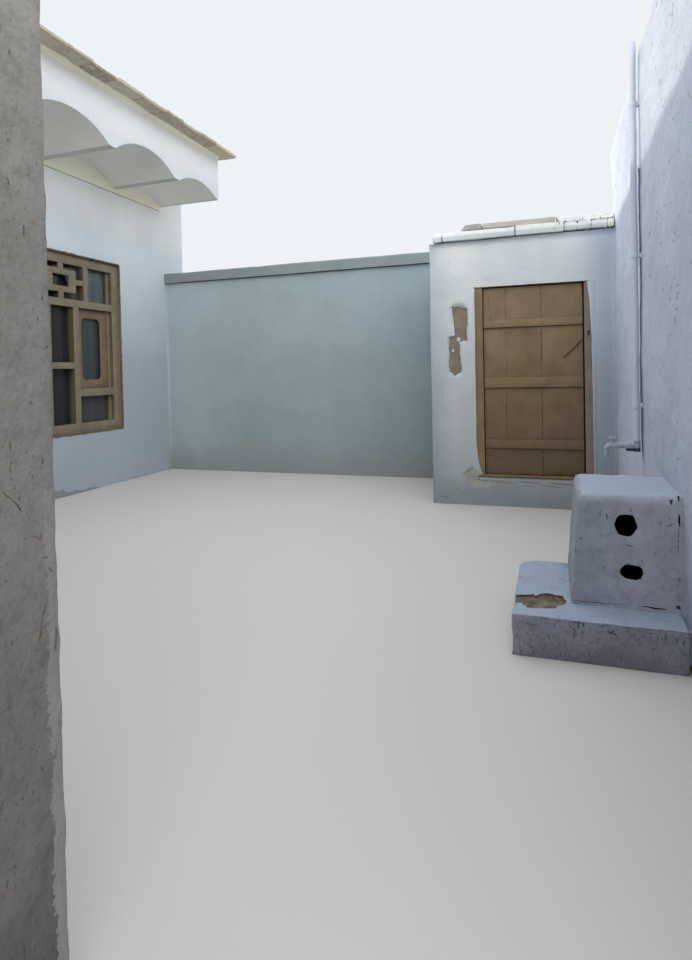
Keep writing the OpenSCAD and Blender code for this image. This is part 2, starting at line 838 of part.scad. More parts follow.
module masonry_stand() {
    z1 = plinth_h + stand_h;
    color("#d3d7dd") difference() {
        intersection() {
            translate([0, stand_y + stand_l, 0]) rotate([90, 0, 0]) linear_extrude(stand_l)
                stand_outline(z1);
            front_panel(stand_x, east_x)
                worn_top(stand_y, stand_y + stand_l, plinth_h, z1, stand_edge_r);
        }
        translate([stand_x + stand_hole_x, stand_y - eps, plinth_h + stand_hole_z])
            rotate([-90, 0, 0]) cylinder(r = stand_hole_r, h = stand_hole_d + eps);
        translate([stand_x + stand_slot_x, stand_y - eps, plinth_h + stand_slot_z]) {
            for (side = [-1, 1])
                translate([side * stand_slot_l / 2, 0, 0]) rotate([-90, 0, 0])
                    cylinder(r = stand_slot_r, h = stand_hole_d + eps);
            translate([-stand_slot_l / 2, 0, -stand_slot_r])
                cube([stand_slot_l, stand_hole_d + eps, 2 * stand_slot_r]);
        }
    }
}

wing_front_wall();
wing_north_wall();
wing_back_wall();
wing_south_wall();
wing_floor();
wing_roof_slab();
wing_mud_roof();
canopy();
roof_edge_course();
window_frame();
window_lattice();
casement_south();
casement_north();
window_glass();
room_door_frame();
room_door();
back_wall();
back_wall_coping();
south_wall();
south_wall_coping();
store_front_left();
store_front_right();
store_front_over_door();
store_sill();
store_west_wall();
store_back_wall();
store_floor();
store_roof();
store_coping_lower();
store_coping_upper();
store_door_frame();
store_door_leaf();
store_door_battens();
door_hinge_pins();
door_hinge_eyes();
door_staple();
door_chain();
east_wall();
east_wall_north();
standpipe();
pipe_clips();
water_tap();
stand_plinth();
masonry_stand();
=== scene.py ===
import math
import random

import bmesh
import bpy
from mathutils import Matrix, Vector, noise
from mathutils.bvhtree import BVHTree


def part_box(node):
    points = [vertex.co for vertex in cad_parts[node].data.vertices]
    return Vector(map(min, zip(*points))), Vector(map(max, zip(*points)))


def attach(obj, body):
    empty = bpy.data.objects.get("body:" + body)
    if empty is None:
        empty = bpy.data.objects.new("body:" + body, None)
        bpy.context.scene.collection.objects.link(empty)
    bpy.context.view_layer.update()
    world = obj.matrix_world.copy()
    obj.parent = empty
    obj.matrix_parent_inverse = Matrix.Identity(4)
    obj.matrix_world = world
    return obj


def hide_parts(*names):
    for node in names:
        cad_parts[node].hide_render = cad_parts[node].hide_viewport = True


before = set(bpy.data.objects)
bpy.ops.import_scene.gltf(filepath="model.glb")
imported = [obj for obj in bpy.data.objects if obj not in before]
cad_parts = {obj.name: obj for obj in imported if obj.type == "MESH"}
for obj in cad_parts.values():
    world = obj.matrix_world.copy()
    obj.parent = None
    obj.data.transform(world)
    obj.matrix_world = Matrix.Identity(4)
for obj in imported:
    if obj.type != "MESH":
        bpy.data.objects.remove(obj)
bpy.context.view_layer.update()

MM = 0.001
EAST, WEST = Vector((1, 0, 0)), Vector((-1, 0, 0))
NORTH, SOUTH = Vector((0, 1, 0)), Vector((0, -1, 0))
UP, DOWN = Vector((0, 0, 1)), Vector((0, 0, -1))
# Without a seed, noise_vector starts from the clock
noise.seed_set(4)

# The reference view: a person standing just outside the gateway, looking north and a little west
CAMERA_PLACE = (4.231, -4.179, 1.361)
CAMERA_YAW = 0.3278
CAMERA_PITCH = 0.0197
CAMERA_ROLL = -0.0213
IMAGE_H_PX = 960
FOCAL_PX = 605.07
CENTRE_Y_PX = 384.5
SENSOR_MM = 36.0

# The height at which the wing's last coat of lime stops, under the canopy
LINE_Z = 3.745
# How deep a piece's end is pushed into the wall that it meets, so that no gap shows
JOIN = 0.03

# The light of the open sky, and what the soft box adds to it inside the yard
OPEN_LIGHT = 1.1
YARD_LIGHT = 0.78
# How far the low key leans from straight down, in degrees: it clears the roof's edge and meets the
# east wall 2.7 m up
LOW_KEY_TILT = 70.8

# Faces of the walls, taken from the frame
WING_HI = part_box("wing_front_wall")[1]
YARD_X = WING_HI.x
FRAME_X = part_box("window_frame")[1].x
STORE_LO, STORE_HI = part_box("store_front_over_door")
EAST_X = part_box("east_wall")[0].x
BACK_LO, BACK_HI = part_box("back_wall")
SOUTH_LO, SOUTH_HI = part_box("south_wall")
LEAF_LO, LEAF_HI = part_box("store_door_leaf")
JAMBS_LO, JAMBS_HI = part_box("store_door_frame")
STAND_LO, STAND_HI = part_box("masonry_stand")
PLINTH_LO, PLINTH_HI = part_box("stand_plinth")
PIPE_LO, PIPE_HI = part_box("standpipe")


def make_camera():
    yaw, pitch, roll = CAMERA_YAW, CAMERA_PITCH, CAMERA_ROLL
    ahead = Vector((-math.sin(yaw) * math.cos(pitch), math.cos(yaw) * math.cos(pitch), -math.sin(pitch)))
    level = Vector((math.cos(yaw), math.sin(yaw), 0))
    up = level.cross(ahead)
    right = math.cos(roll) * level + math.sin(roll) * up
    up = math.cos(roll) * up - math.sin(roll) * level
    camera = new_object("camera", bpy.data.cameras.new("camera"))
    turned = Matrix((right, up, -ahead)).transposed().to_4x4()
    camera.matrix_world = Matrix.Translation(CAMERA_PLACE) @ turned
    camera.data.sensor_width = SENSOR_MM
    camera.data.lens = FOCAL_PX / IMAGE_H_PX * SENSOR_MM
    camera.data.shift_y = -(IMAGE_H_PX / 2 - CENTRE_Y_PX) / IMAGE_H_PX
    camera.data.clip_start = 0.05
    bpy.context.scene.camera = camera


def new_object(name, data):
    made = bpy.data.objects.new(name, data)
    bpy.context.collection.objects.link(made)
    return made


# Finishes

def linear(hex_colour, alpha=1.0):
    """Turns an sRGB hex colour into the linear values that a shader takes."""
    values = [int(hex_colour[i:i + 2], 16) / 255 for i in (1, 3, 5)]
    return [v / 12.92 if v <= 0.04045 else ((v + 0.055) / 1.055) ** 2.4 for v in values] + [alpha]


def per_mm(size):
    """The scale that makes a pattern's features about this many millimetres across."""
    return 1 / (size * MM)


def add(tree, kind, inputs=(), out=0, **settings):
    """Adds one shader node with its settings, values and links, and returns one of its outputs. The
    inputs come in the node's own order, or else by name or number."""
    node = tree.nodes.new("ShaderNode" + kind)
    for key, value in settings.items():
        setattr(node, key, value)
    for key, value in inputs.items() if isinstance(inputs, dict) else enumerate(inputs):
        if isinstance(value, bpy.types.NodeSocket):
            tree.links.new(value, node.inputs[key])
        else:
            node.inputs[key].default_value = value
    return node.outputs[out]


def start(name, roughness, **values):
    """A new material, with the values that are the same all over set on the shader itself."""
    material = bpy.data.materials.new(name)
    material.use_nodes = True
    shader = material.node_tree.nodes["Principled BSDF"]
    shader.inputs["Roughness"].default_value = roughness
    for key, value in values.items():
        shader.inputs[key.replace("_", " ")].default_value = value
    tree = material.node_tree
    return material, tree, add(tree, "TexCoord", out="Object")


def finish(material, colour, layers, reliefs=()):
    """Lays tones over a colour, sinks reliefs and links both to the shader. Each layer is (how much
    of it shows, its tone, how it mixes unless plainly), and each relief is (pattern, depth in mm,
    strength)."""
    tree = material.node_tree
    shader = tree.nodes["Principled BSDF"]
    colour = linear(colour)
    for share, tone, *way in layers:
        tone = linear(tone) if isinstance(tone, str) else tone
        colour = add(tree, "Mix", {0: share, 6: colour, 7: tone}, 2, data_type="RGBA",
                     blend_type=way[0] if way else "MIX")
    tree.links.new(colour, shader.inputs["Base Color"])
    relief = {}
    for pattern, depth, strength in reliefs:
        relief = {"Normal": add(tree, "Bump", {"Height": pattern, "Distance": depth * MM,
                                               "Strength": strength, **relief})}
    for below in relief.values():
        tree.links.new(below, shader.inputs["Normal"])
    return material


def plaster(name, light, dark, foot=None, dip_mm=7, grit_mm=1.0, streak=0.3, dust=0.35, dust_top=2.7,
            dust_full=0.2, foot_reach=0.4, shading_and_stains=(), pits=0.0, pit_tone="#45423f", pit_mm=20, mottle=0.0,
            mottle_mm=45, drawn=(1, 1, 0.3), top=None, strip=None):
    """Mud plaster laid by hand and brushed with lime: clouded, streaked, dipped, gritty and greyer
    towards the foot, from dirt on some walls and from painted shade on others. dust is how much the
    wall greys from dust_top down to dust_full, foot_reach how high the splashes go, and each of
    stains is (axis, start, full, tone) of a band that darkens or tints the wall, dirt on some walls
    and painted light and shade on others. drawn squeezes the pattern along the way that the hand
    went, top is the tone of upper faces, and strip is (y, half width, lowest z, highest z, highest x,
    tone, how ragged) of an upright strip with its own tone."""
    material, tree, place = start(name, 0.92, Specular_IOR_Level=0.25)
    split = add(tree, "SeparateXYZ", {"Vector": place}).node.outputs
    height = split["Z"]
    strokes = add(tree, "Mapping", {"Vector": place, "Scale": drawn})
    cloud, brush, dips, grit = (
        add(tree, "TexNoise", {"Vector": way, "Scale": per_mm(size), "Detail": detail, "Roughness": rough})
        for way, size, detail, rough in ((place, 850, 5.0, 0.65), (strokes, 120, 3.0, 0.55),
                                         (place, 170, 3.0, 0.5), (place, 11, 3.0, 0.5)))
    wash = add(tree, "Math", (brush, streak, cloud), operation="MULTIPLY_ADD")
    middle = 0.5 + 0.5 * streak
    tone = add(tree, "MapRange", (wash, middle - 0.2, middle + 0.2))
    layers = [(tone, light)]
    if mottle:
        spots = add(tree, "TexNoise", {"Vector": place, "Scale": per_mm(mottle_mm), "Detail": 6.0,
                                       "Roughness": 0.7})
        thin = add(tree, "MapRange", (spots, 0.48, 0.68, 0, mottle))
        layers.append((thin, pit_tone))
    grey = add(tree, "MapRange", (height, dust_top, dust_full, 0, dust))
    layers.append((grey, foot or dark))
    for axis, begin, full, band_tone in shading_and_stains:
        band_share = add(tree, "MapRange", (split[axis], begin, full))
        layers.append((band_share, band_tone, "MULTIPLY"))
    if top:
        facing = add(tree, "SeparateXYZ", {"Vector": add(tree, "NewGeometry", out="Normal")}, "Z")
        upward = add(tree, "Math", (brush, 0.6, facing), operation="MULTIPLY_ADD")
        level = add(tree, "MapRange", (upward, 1.05, 1.25))
        layers.append((level, top))
    reach = add(tree, "Math", (cloud, 0.6, height), operation="MULTIPLY_ADD")
    splash = add(tree, "MapRange", (reach, 0.3 + foot_reach, 0.33, 0, 0.85))
    layers.append((splash, foot or dark))
    hollow = grit
    if pits:
        holes = add(tree, "TexNoise", {"Vector": strokes, "Scale": per_mm(pit_mm), "Detail": 4.0,
                                       "Roughness": 0.6})
        holes = add(tree, "Math", (splash, 0.06, holes), operation="MULTIPLY_ADD")
        groups = add(tree, "TexNoise", {"Vector": place, "Scale": per_mm(12 * pit_mm)})
        groups = add(tree, "Math", (groups, 0.5), operation="SUBTRACT")
        holes = add(tree, "Math", (groups, 0.3, holes), operation="MULTIPLY_ADD")
        pit = add(tree, "MapRange", (holes, 0.74 - 0.08 * pits, 0.80 - 0.08 * pits))
        shown = add(tree, "Math", (pit, 0.75), operation="MULTIPLY")
        layers.append((shown, pit_tone))
        hollow = add(tree, "Math", (pit, -3.0, hollow), operation="MULTIPLY_ADD")
    if strip:
        y, half, low, high, far, own, ragged = strip
        wobble = add(tree, "Math", (brush, 0.02, split["Y"]), operation="MULTIPLY_ADD")
        wobble = add(tree, "Math", (grit, ragged, wobble), operation="MULTIPLY_ADD")
        near = add(tree, "Math", (wobble, y + 0.01 + ragged / 2, half), operation="COMPARE")
        level = add(tree, "Math", (dips, 0.3, height), operation="MULTIPLY_ADD")
        level = add(tree, "Math", (level, (low + high) / 2 + 0.15, (high - low) / 2), operation="COMPARE")
        inner = add(tree, "Math", (split["X"], far), operation="LESS_THAN")
        shown = add(tree, "Math", (near, level), operation="MULTIPLY")
        shown = add(tree, "Math", (shown, inner), operation="MULTIPLY")
        layers.append((shown, own))
    return finish(material, dark, layers, ((dips, 2 * dip_mm, 1.0), (hollow, 2 * grit_mm, 0.7)))


def earth(name, light, dark, fleck, lump_mm=60, grit_mm=2.5):
    """Sun-dried mud with chopped straw, or clay tile: lumpy and matt, each block in its own tone."""
    material, tree, place = start(name, 0.95, Specular_IOR_Level=0.15)
    own = add(tree, "Attribute", out="Fac", attribute_name="tone")
    # Straw about 3 mm by 25 mm, drawn twice as coarse so that it shows
    turned = add(tree, "Mapping", {"Vector": place, "Rotation": (0.3, 0.5, 0.7), "Scale": (1, 0.12, 1)})
    patches, lumps, straw = (
        add(tree, "TexNoise", {"Vector": way, "Scale": per_mm(size), "Detail": detail, "Roughness": rough})
        for way, size, detail, rough in (
            (place, 4 * lump_mm, 5.0, 0.5), (place, lump_mm, 5.0, 0.65), (turned, 6, 1.0, 0.5)))
    tone = add(tree, "Math", (own, 0.5, patches), operation="MULTIPLY_ADD")
    tone = add(tree, "MapRange", (tone, 0.38, 0.92))
    shown = add(tree, "MapRange", (straw, 0.66, 0.72, 0, 0.6))
    layers = ((tone, light), (shown, fleck))
    return finish(material, dark, layers, ((lumps, 0.25 * lump_mm, 1.0), (straw, grit_mm, 0.6)))


def timber(name, paint, shade, bare, along, fade=None, wear=0.5):
    """Sawn softwood under old matt paint: grain along one axis, rubbed places, dust in the grain.
    fade is (low z, high z, tone) for a piece that darkens towards its foot."""
    material, tree, place = start(name, 0.7, Specular_IOR_Level=0.3)
    stretch = [1.0, 1.0, 1.0]
    stretch[along] = 0.05
    fibres = add(tree, "Mapping", {"Vector": place, "Scale": stretch})
    own = add(tree, "Attribute", out="Fac", attribute_name="tone")
    grain, patches = (
        add(tree, "TexNoise", {"Vector": way, "Scale": per_mm(size), "Detail": detail, "Roughness": 0.6})
        for way, size, detail in ((fibres, 9, 4.0), (place, 180, 5.0)))
    tone = add(tree, "Math", (grain, 0.7, patches), operation="MULTIPLY_ADD")
    tone = add(tree, "Math", (own, -0.3, tone), operation="MULTIPLY_ADD")
    tone = add(tree, "MapRange", (tone, 0.5, 1.0))
    layers = [(tone, paint)]
    if fade:
        low, high, foot = fade
        height = add(tree, "SeparateXYZ", {"Vector": place}, "Z")
        height = add(tree, "Math", (patches, 0.5, height), operation="MULTIPLY_ADD")
        lower = add(tree, "MapRange", (height, high + 0.25, low + 0.25))
        layers.append((lower, foot))
    rubbed = add(tree, "MapRange", (grain, 0.60, 0.74, 0, wear))
    layers.append((rubbed, bare))
    return finish(material, shade, layers, ((grain, 2.5, 0.7),))


def coated_iron(name, coat, rust, shown, roughness, metallic=0.0):
    """Iron under lime splashes or under its own rust: the second tone breaks through in specks."""
    material, tree, place = start(name, roughness, Metallic=metallic)
    patches, specks = (
        add(tree, "TexNoise", {"Vector": place, "Scale": per_mm(size), "Detail": detail, "Roughness": rough})
        for size, detail, rough in ((45, 6.0, 0.7), (4, 2.0, 0.5)))
    through = add(tree, "MapRange", (patches, 0.62 - shown, 0.72 - shown))
    return finish(material, coat, ((through, rust),), ((specks, 1.0, 0.5),))


def plain(name, tone, roughness, **values):
    """A surface too small or too dark to show a pattern of its own, with a slight speckle."""
    material, tree, place = start(name, roughness, **values)
    speck = add(tree, "TexNoise", {"Vector": place, "Scale": per_mm(30), "Detail": 4.0})
    light = add(tree, "MapRange", (speck, 0.3, 0.7, 0.75, 1.2))
    return finish(material, tone, ((1.0, light, "MULTIPLY"),))


def pane_glass():
    """Old panes before a dark room: brown-black, with a grey-blue veil of sky and dust on parts and
    the folds of a cloth that hangs behind them."""
    material, tree, place = start("window_glass", 0.12, Specular_IOR_Level=0.4, Alpha=0.93)
    # The middle panes show the dark room and the side lights the cloth
    lo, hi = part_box("window_frame")
    middle_y = (lo.y + hi.y) / 2
    side_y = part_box("casement_north")[0].y - middle_y
    split = add(tree, "SeparateXYZ", {"Vector": place}).node.outputs
    across = add(tree, "Math", (split["Y"], middle_y), operation="SUBTRACT")
    across = add(tree, "Math", (across,), operation="ABSOLUTE")
    veil = add(tree, "MapRange", (across, side_y - 0.08, side_y + 0.02, 0.42, 0.60))
    hung = add(tree, "Mapping", {"Vector": place, "Scale": (1, 1, 0.03)})
    folds = add(tree, "TexNoise", {"Vector": hung, "Scale": per_mm(70), "Detail": 1.0})
    shown = add(tree, "Math", (folds, 0.22, veil), operation="MULTIPLY_ADD")
    shown = add(tree, "MapRange", (shown, 0.55, 0.85))
    # The upper panes catch the most sky, the lower ones what the paving throws back
    sky = linear("#4e5456")
    for low, high, tone in ((2.15, 2.3, "#707c87"), (1.2, 1.1, "#5a585f")):
        share = add(tree, "MapRange", (split["Z"], low, high))
        sky = add(tree, "Mix", {0: share, 6: sky, 7: linear(tone)}, 2, data_type="RGBA")
    return finish(material, "#2c2a2d", ((shown, sky),))


# How the canopy's thin, even coats lie
SMOOTH = {"dip_mm": 1.5, "grit_mm": 0.4, "streak": 0.15}

# Smooth lime over gypsum plaster: nearly white, even and matt. Its bluish darkening from 3.55 m down to 3.1 m
# and its greying towards the foot are painted shade
WING_LIME = plaster("wing_limewash", "#efefee", "#e2e3e3", "#7e858c", dip_mm=2.0, grit_mm=0.4, streak=0.15,
                    dust=0.53, dust_top=3.0, dust_full=1.6, foot_reach=0.04,
                    shading_and_stains=(("Z", 3.55, 3.1, "#e0e9f1"),))
# Outside there is no bluish shade, but the rain has washed mud down and splashed it up
OUTER_LIME = plaster("outer_limewash", "#ecebe8", "#dcdbd8", "#97938d", dip_mm=5, grit_mm=0.8, streak=0.2,
                     dust=0.5, dust_top=2.2, foot_reach=0.3)
# Under the canopy the last coat stopped at a line, and the older cream coat shows above it. The cream is
# real, but it is made very light as painted light, for the light thrown up under the canopy
CREAM_LIME = plaster("cream_limewash", "#faf7e7", "#f0edda", dip_mm=2.0, grit_mm=0.4, streak=0.15, dust=0)
# The canopy's lime is the freshest. Its front is a little warmer at the top and darker from 4.24 m down,
# which is painted shade
CANOPY_LIME = plaster("canopy_limewash", "#f1f2f2", "#e7e9ea", dust=0, **SMOOTH,
                      shading_and_stains=(("Z", 4.27, 4.38, "#faf7ee"), ("Z", 4.24, 3.95, "#dfe2e7")))
# The underside's warmer, lighter lime is painted reflected light
SOFFIT_BOUNCE_LIME = plaster("soffit_painted_bounce", "#f2f0e9", "#e6e4dc", dust=0, **SMOOTH)
# The flat undersides of the narrow ribs between the scallops are greyer: painted shade along the ridges
RIB_SHADE_LIME = plaster("rib_painted_shade", "#d0cfc8", "#c2c1ba", dust=0, **SMOOTH)
# The back wall's lime is greyer and greener than the other walls. It is lighter near the wing's corner,
# painted light against the corner's shade, and cooler towards the east
BACK_LIME = plaster("back_wall_limewash", "#adbcc1", "#9eadb1", "#8b8e8d", dip_mm=2.5, grit_mm=0.6,
                    streak=0.12, shading_and_stains=(("X", YARD_X + 0.2, YARD_X + 1.2, "#ebebec"),
                                         ("X", 1.6, 3.0, "#f4fcff")))
# The store's lime is bluish and darker near the east wall, darker at its left end and in a band under the
# coping: painted shade. Its greying towards the foot is partly dirt, partly painted shade
STORE_LIME = plaster("store_limewash", "#e6e9ea", "#d2d7d8", "#8a9195", grit_mm=0.9, streak=0.2, dust=0.72,
                     dust_top=2.9, foot_reach=0.3, pits=0.1, pit_tone="#5f584f",
                     shading_and_stains=(("X", 4.45, 4.7, "#d9e0ee"), ("X", 3.3, 3.06, "#dfe3e6"),
                             ("Z", STORE_HI.z - 0.07, STORE_HI.z - 0.02, "#d2d6da")))
COPING_LIME = plaster("coping_limewash", "#8a9396", "#7e888b", dip_mm=5, dust=0)
# Weathered slabs and rubble: the lime is worn to the stone in places
# The lower band of the slabs' faces is darker: painted shade under their overhang
SLAB_LIME = plaster("slab_limewash", "#f3f5f3", "#e2e5e2", dip_mm=5, grit_mm=1.5, dust=0, pits=0.25,
                    pit_tone="#b5ada2", mottle=0.18, top="#d6d8d5",
                    shading_and_stains=(("Z", STORE_HI.z + 0.058, STORE_HI.z + 0.042, "#dfe3e5"),))
# The old east wall: many coats over pitted mud, bluish in the open shade. The dark upright strip beside the
# pipe is painted shade, the shadow between pipe and wall
EAST_LIME = plaster("east_wall_limewash", "#d7dfef", "#c2cadc", "#9299aa", dip_mm=12, grit_mm=1.5, dust=0.4,
                    pits=1.1, pit_tone="#868c9c", pit_mm=26, drawn=(1, 0.45, 0.9), top="#c3c4c6",
                    strip=(0.352, 0.042, 0.79, 2.67, EAST_X + 0.03, "#575e6d", 0.0),
                    shading_and_stains=(("Y", 0.42, 0.33, "#ededee"),))
# Never limewashed: trowelled mud and cement with drag marks, paler where the gateway's corner is rubbed
BARE_PLASTER = plaster("bare_plaster", "#b7b4ae", "#999892", "#383336", dip_mm=9, grit_mm=2.0, dust=0.72,
                       pits=0.9, pit_tone="#6a6561", pit_mm=12, mottle=0.4, mottle_mm=30, drawn=(1, 1, 0.6),
                       strip=(SOUTH_HI.y - 0.008, 0.03, -1, 1.15, SOUTH_HI.x + 0.05, "#8b8885", 0.04))
STAND_LIME = plaster("stand_limewash", "#babac8", "#9fa2ad", "#868490", grit_mm=1.6, dust=0.2, pits=0.9,
                     pit_tone="#625a66", pit_mm=14, mottle=0.3, top="#9da9b8", foot_reach=0.2,
                     shading_and_stains=(("X", 4.6, 4.4, "#e3ebea"),))
PLINTH_LIME = plaster("plinth_limewash", "#9798a4", "#7c7c88", "#716e79", dip_mm=8, grit_mm=2.2, dust=0.3,
                      pits=1.1, pit_tone="#504953", pit_mm=9, mottle=0.6, mottle_mm=25, top="#98a4b4",
                      foot_reach=0.1)
# The joint round the window, filled with mud that took up the paint
REVEAL_MUD = plaster("reveal_mud", "#8a7666", "#66554a", dip_mm=8, grit_mm=2.0, dust=0, pits=0.3,
                     pit_tone="#4a3d35", mottle=0.4)
ROOF_MUD = earth("roof_mud", "#a99c87", "#8d806c", "#c9bd9f")
FLOOR_MUD = earth("floor_mud", "#a3978a", "#8a7f73", "#b5aa97", lump_mm=90)
CRUMBS = earth("crumbled_plaster", "#b9b8aa", "#9b9b93", "#c8c5b6", lump_mm=16, grit_mm=4.0)
BARE_MUD = earth("bare_mud", "#9c907f", "#7f7466", "#a39882", lump_mm=25)
STAND_CORE = earth("stand_core", "#77706c", "#3f3b3d", "#8a8680", lump_mm=12, grit_mm=5.0)
PLINTH_MUD = earth("plinth_mud", "#988b7a", "#564d42", "#a59a88", lump_mm=14, grit_mm=6.0)
EDGE_CLAY = earth("edge_clay", "#cdc2af", "#958c7e", "#d6cebb", lump_mm=11, grit_mm=3.0)
BRICK_CLAY = earth("brick_clay", "#bdb8af", "#9e9d97", "#c6c2bb", lump_mm=30, grit_mm=1.5)
JOINT_MUD = plain("joint_mud", "#bab5ac", 0.95)
# Painted shade: near-black for the insides of the stand's holes and its splits
DEEP_SHADE = plain("deep_painted_shade", "#09080a", 1.0, Specular_IOR_Level=0.0)
WINDOW_PAINT = timber("window_paint", "#827966", "#6b6151", "#655c51", along=2, wear=0.35)
# Where the frame's inner sides are out of the sun and the rain they are darker: dust, and painted shade
REVEAL_DUST_AND_SHADE = timber("reveal_dust_and_shade", "#655a45", "#514735", "#4d4536", along=2, wear=0.3)
CASEMENT_PAINT = timber("casement_paint", "#7d6c57", "#665543", "#665647", along=2, wear=0.35)
DOOR_BOARD = timber("door_board", "#968163", "#7f6b51", "#6e5d49", along=2, fade=(0.35, 1.75, "#6a5642"))
DOOR_BATTEN = timber("door_batten", "#978263", "#816d53", "#6e5d49", along=0, fade=(0.35, 1.75, "#6f5b45"))
DOOR_JAMB = timber("door_jamb", "#8c7655", "#735e44", "#736358", along=2)
# The right jamb has lost its paint and gone grey and reddish
BARE_JAMB = timber("bare_jamb", "#8f8078", "#76675f", "#a0948a", along=2)
# The inner sides round a casement's pane are nearly black
PANE_EDGE_DARK = plain("dark_pane_edge", "#352f29", 0.9)
# Painted shadow under the tap's elbow
ELBOW_SHADOW = plain("elbow_painted_shadow", "#2e323c", 0.6)
GLASS = pane_glass()
RUST = coated_iron("rusted_iron", "#6b4a3b", "#42332c", 0.10, 0.8, metallic=0.2)
PIPE_LIME = coated_iron("pipe_limewash", "#c0c6d4", "#989daa", -0.02, 0.7)
CRACK_DARK = plain("crack_shadow", "#2c241c", 1.0, Specular_IOR_Level=0.0)
SPLIT_GREY = plain("plaster_split", "#565558", 1.0, Specular_IOR_Level=0.0)
# On bare mud a crack is hardly darker than the wall
SPLIT_MUD = plain("mud_split", "#67625e", 1.0, Specular_IOR_Level=0.0)
SPLIT_BROWN = plain("open_joint", "#857c72", 1.0)
LINE_TAN = plain("line_tan", "#a99e86", 0.9)
# Painted shade in the shallow dents, which are flat marks of a darker tone
DENT_SHADE = plain("dent_painted_shade", "#9ba1b2", 0.95)
TAP_LIME = plain("tap_limewash", "#a4a9b6", 0.7)


# Making meshes

def mesh_object(name, bm, materials=()):
    """Turns a mesh into an object with these materials."""
    data = bpy.data.meshes.new(name)
    bm.to_mesh(data)
    bm.free()
    for material in materials:
        data.materials.append(material)
    return new_object(name, data)


def evaluated(objects):
    """The mesh that the first object's modifiers make. The objects go."""
    result = bmesh.new()
    result.from_object(objects[0], bpy.context.evaluated_depsgraph_get())
    for used in objects:
        bpy.data.meshes.remove(used.data)
    return result


def node_mesh(name):
    bm = bmesh.new()
    bm.from_mesh(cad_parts[name].data)
    bmesh.ops.remove_doubles(bm, verts=bm.verts, dist=0.02 * MM)
    return bm


def combined(meshes, operation, materials=()):
    """Joins or cuts closed meshes, keeps each face's material and returns one mesh."""
    objects = [mesh_object("solid", bm, materials) for bm in meshes]
    for other in objects[1:]:
        cut = objects[0].modifiers.new("combine", "BOOLEAN")
        cut.operation = operation
        cut.solver = "EXACT"
        cut.object = other
        if materials:
            cut.material_mode = "TRANSFER"
    return evaluated(objects)


def union_of(*names):
    """One solid for CAD nodes that meet face to face, without the faces between them."""
    bm = combined([node_mesh(name) for name in names], "UNION")
    bmesh.ops.dissolve_limit(bm, angle_limit=0.01, verts=bm.verts, edges=bm.edges)
    return bm


def softened(bm, voxel, rounds):
    """Rebuilds a closed mesh from small cells and smooths it, for a mass that has lost its edges."""
    low = min(v.co.z for v in bm.verts)
    mass = mesh_object("mass", bm)
    cells = mass.modifiers.new("cells", "REMESH")
    cells.mode = "VOXEL"
    cells.voxel_size = voxel
    smooth = mass.modifiers.new("smooth", "SMOOTH")
    smooth.factor = 0.5
    smooth.iterations = rounds
    result = evaluated([mass])
    for v in result.verts:
        if v.co.z < low + 0.9 * voxel:
            v.co.z = low
    return result


def bevel(bm, edges, radius, segments):
    bmesh.ops.bevel(bm, geom=edges, offset=radius, offset_type="OFFSET", segments=segments, profile=0.5,
                    affect="EDGES", clamp_overlap=True)


def round_edges(bm, radius_at, segments=3):
    """Rounds each sharp edge by the radius that radius_at gives for its middle, the largest first."""
    groups = {}
    for edge in bm.edges:
        if len(edge.link_faces) == 2 and edge.calc_face_angle(0) > 0.5:
            radius = radius_at((edge.verts[0].co + edge.verts[1].co) / 2, edge)
            if radius:
                groups.setdefault(radius, []).append(edge)
    for radius in sorted(groups, reverse=True):
        bevel(bm, [edge for edge in groups[radius] if edge.is_valid], radius, segments)


def cut_plane(bm, spot, normal):
    bmesh.ops.bisect_plane(bm, geom=bm.verts[:] + bm.edges[:] + bm.faces[:], dist=0.01 * MM,
                           plane_co=spot, plane_no=normal)


def slice_grid(bm, cell):
    """Cuts every face along a grid of this spacing, so that it can bend."""
    sides = []
    for axis in range(3):
        values = [v.co[axis] for v in bm.verts]
        sides.append((max(values) - min(values), axis, min(values)))
    for length, axis, low in sorted(sides, reverse=True):
        normal = (EAST, NORTH, UP)[axis]
        count = max(1, round(length / cell))
        for i in range(1, count):
            cut_plane(bm, normal * (low + length * i / count), normal)


def wear(bm, depth, size, seed, joins=()):
    """Lets the surface dip inwards by up to depth in hollows of about this size. What stands on the
    ground stays there, and a face on a join (axis, place, push) is pushed into its neighbour."""
    bm.normal_update()
    shift = Vector((3.17, 5.31, 7.77)) * seed
    moved = []
    for v in bm.verts:
        spot = (v.co + shift) / size
        dip = 0.5 + 0.55 * noise.noise(spot) + 0.3 * noise.noise(spot * 3.1) + 0.15 * noise.noise(spot * 9)
        place = v.co - v.normal * depth * min(1, max(0, dip))
        if v.co.z < 1 * MM:
            place.z = v.co.z
        for axis, plane, push in joins:
            if abs(v.co[axis] - plane) < 1 * MM:
                place[axis] = plane + push
        moved.append(place)
    for v, place in zip(bm.verts, moved):
        v.co = place


def keep_inside(bm, names, joins=()):
    """Holds a mesh inside the box of its CAD nodes, apart from what is pushed into a neighbour."""
    boxes = [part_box(name) for name in names]
    for axis in range(3):
        pushed = [plane + push for join_axis, plane, push in joins if join_axis == axis]
        low = min([box[0][axis] for box in boxes] + pushed)
        high = max([box[1][axis] for box in boxes] + pushed)
        for v in bm.verts:
            v.co[axis] = min(high, max(low, v.co[axis]))


def set_tone(bm, tone):
    layer = bm.faces.layers.float.new("tone")
    for face in bm.faces:
        face[layer] = tone


def append(bm, one):
    """Adds a mesh to another, with its tones and materials."""
    data = bpy.data.meshes.new("part")
    one.to_mesh(data)
    one.free()
    bm.from_mesh(data)
    bpy.data.meshes.remove(data)


def new_mesh():
    bm = bmesh.new()
    bm.faces.layers.float.new("tone")
    return bm


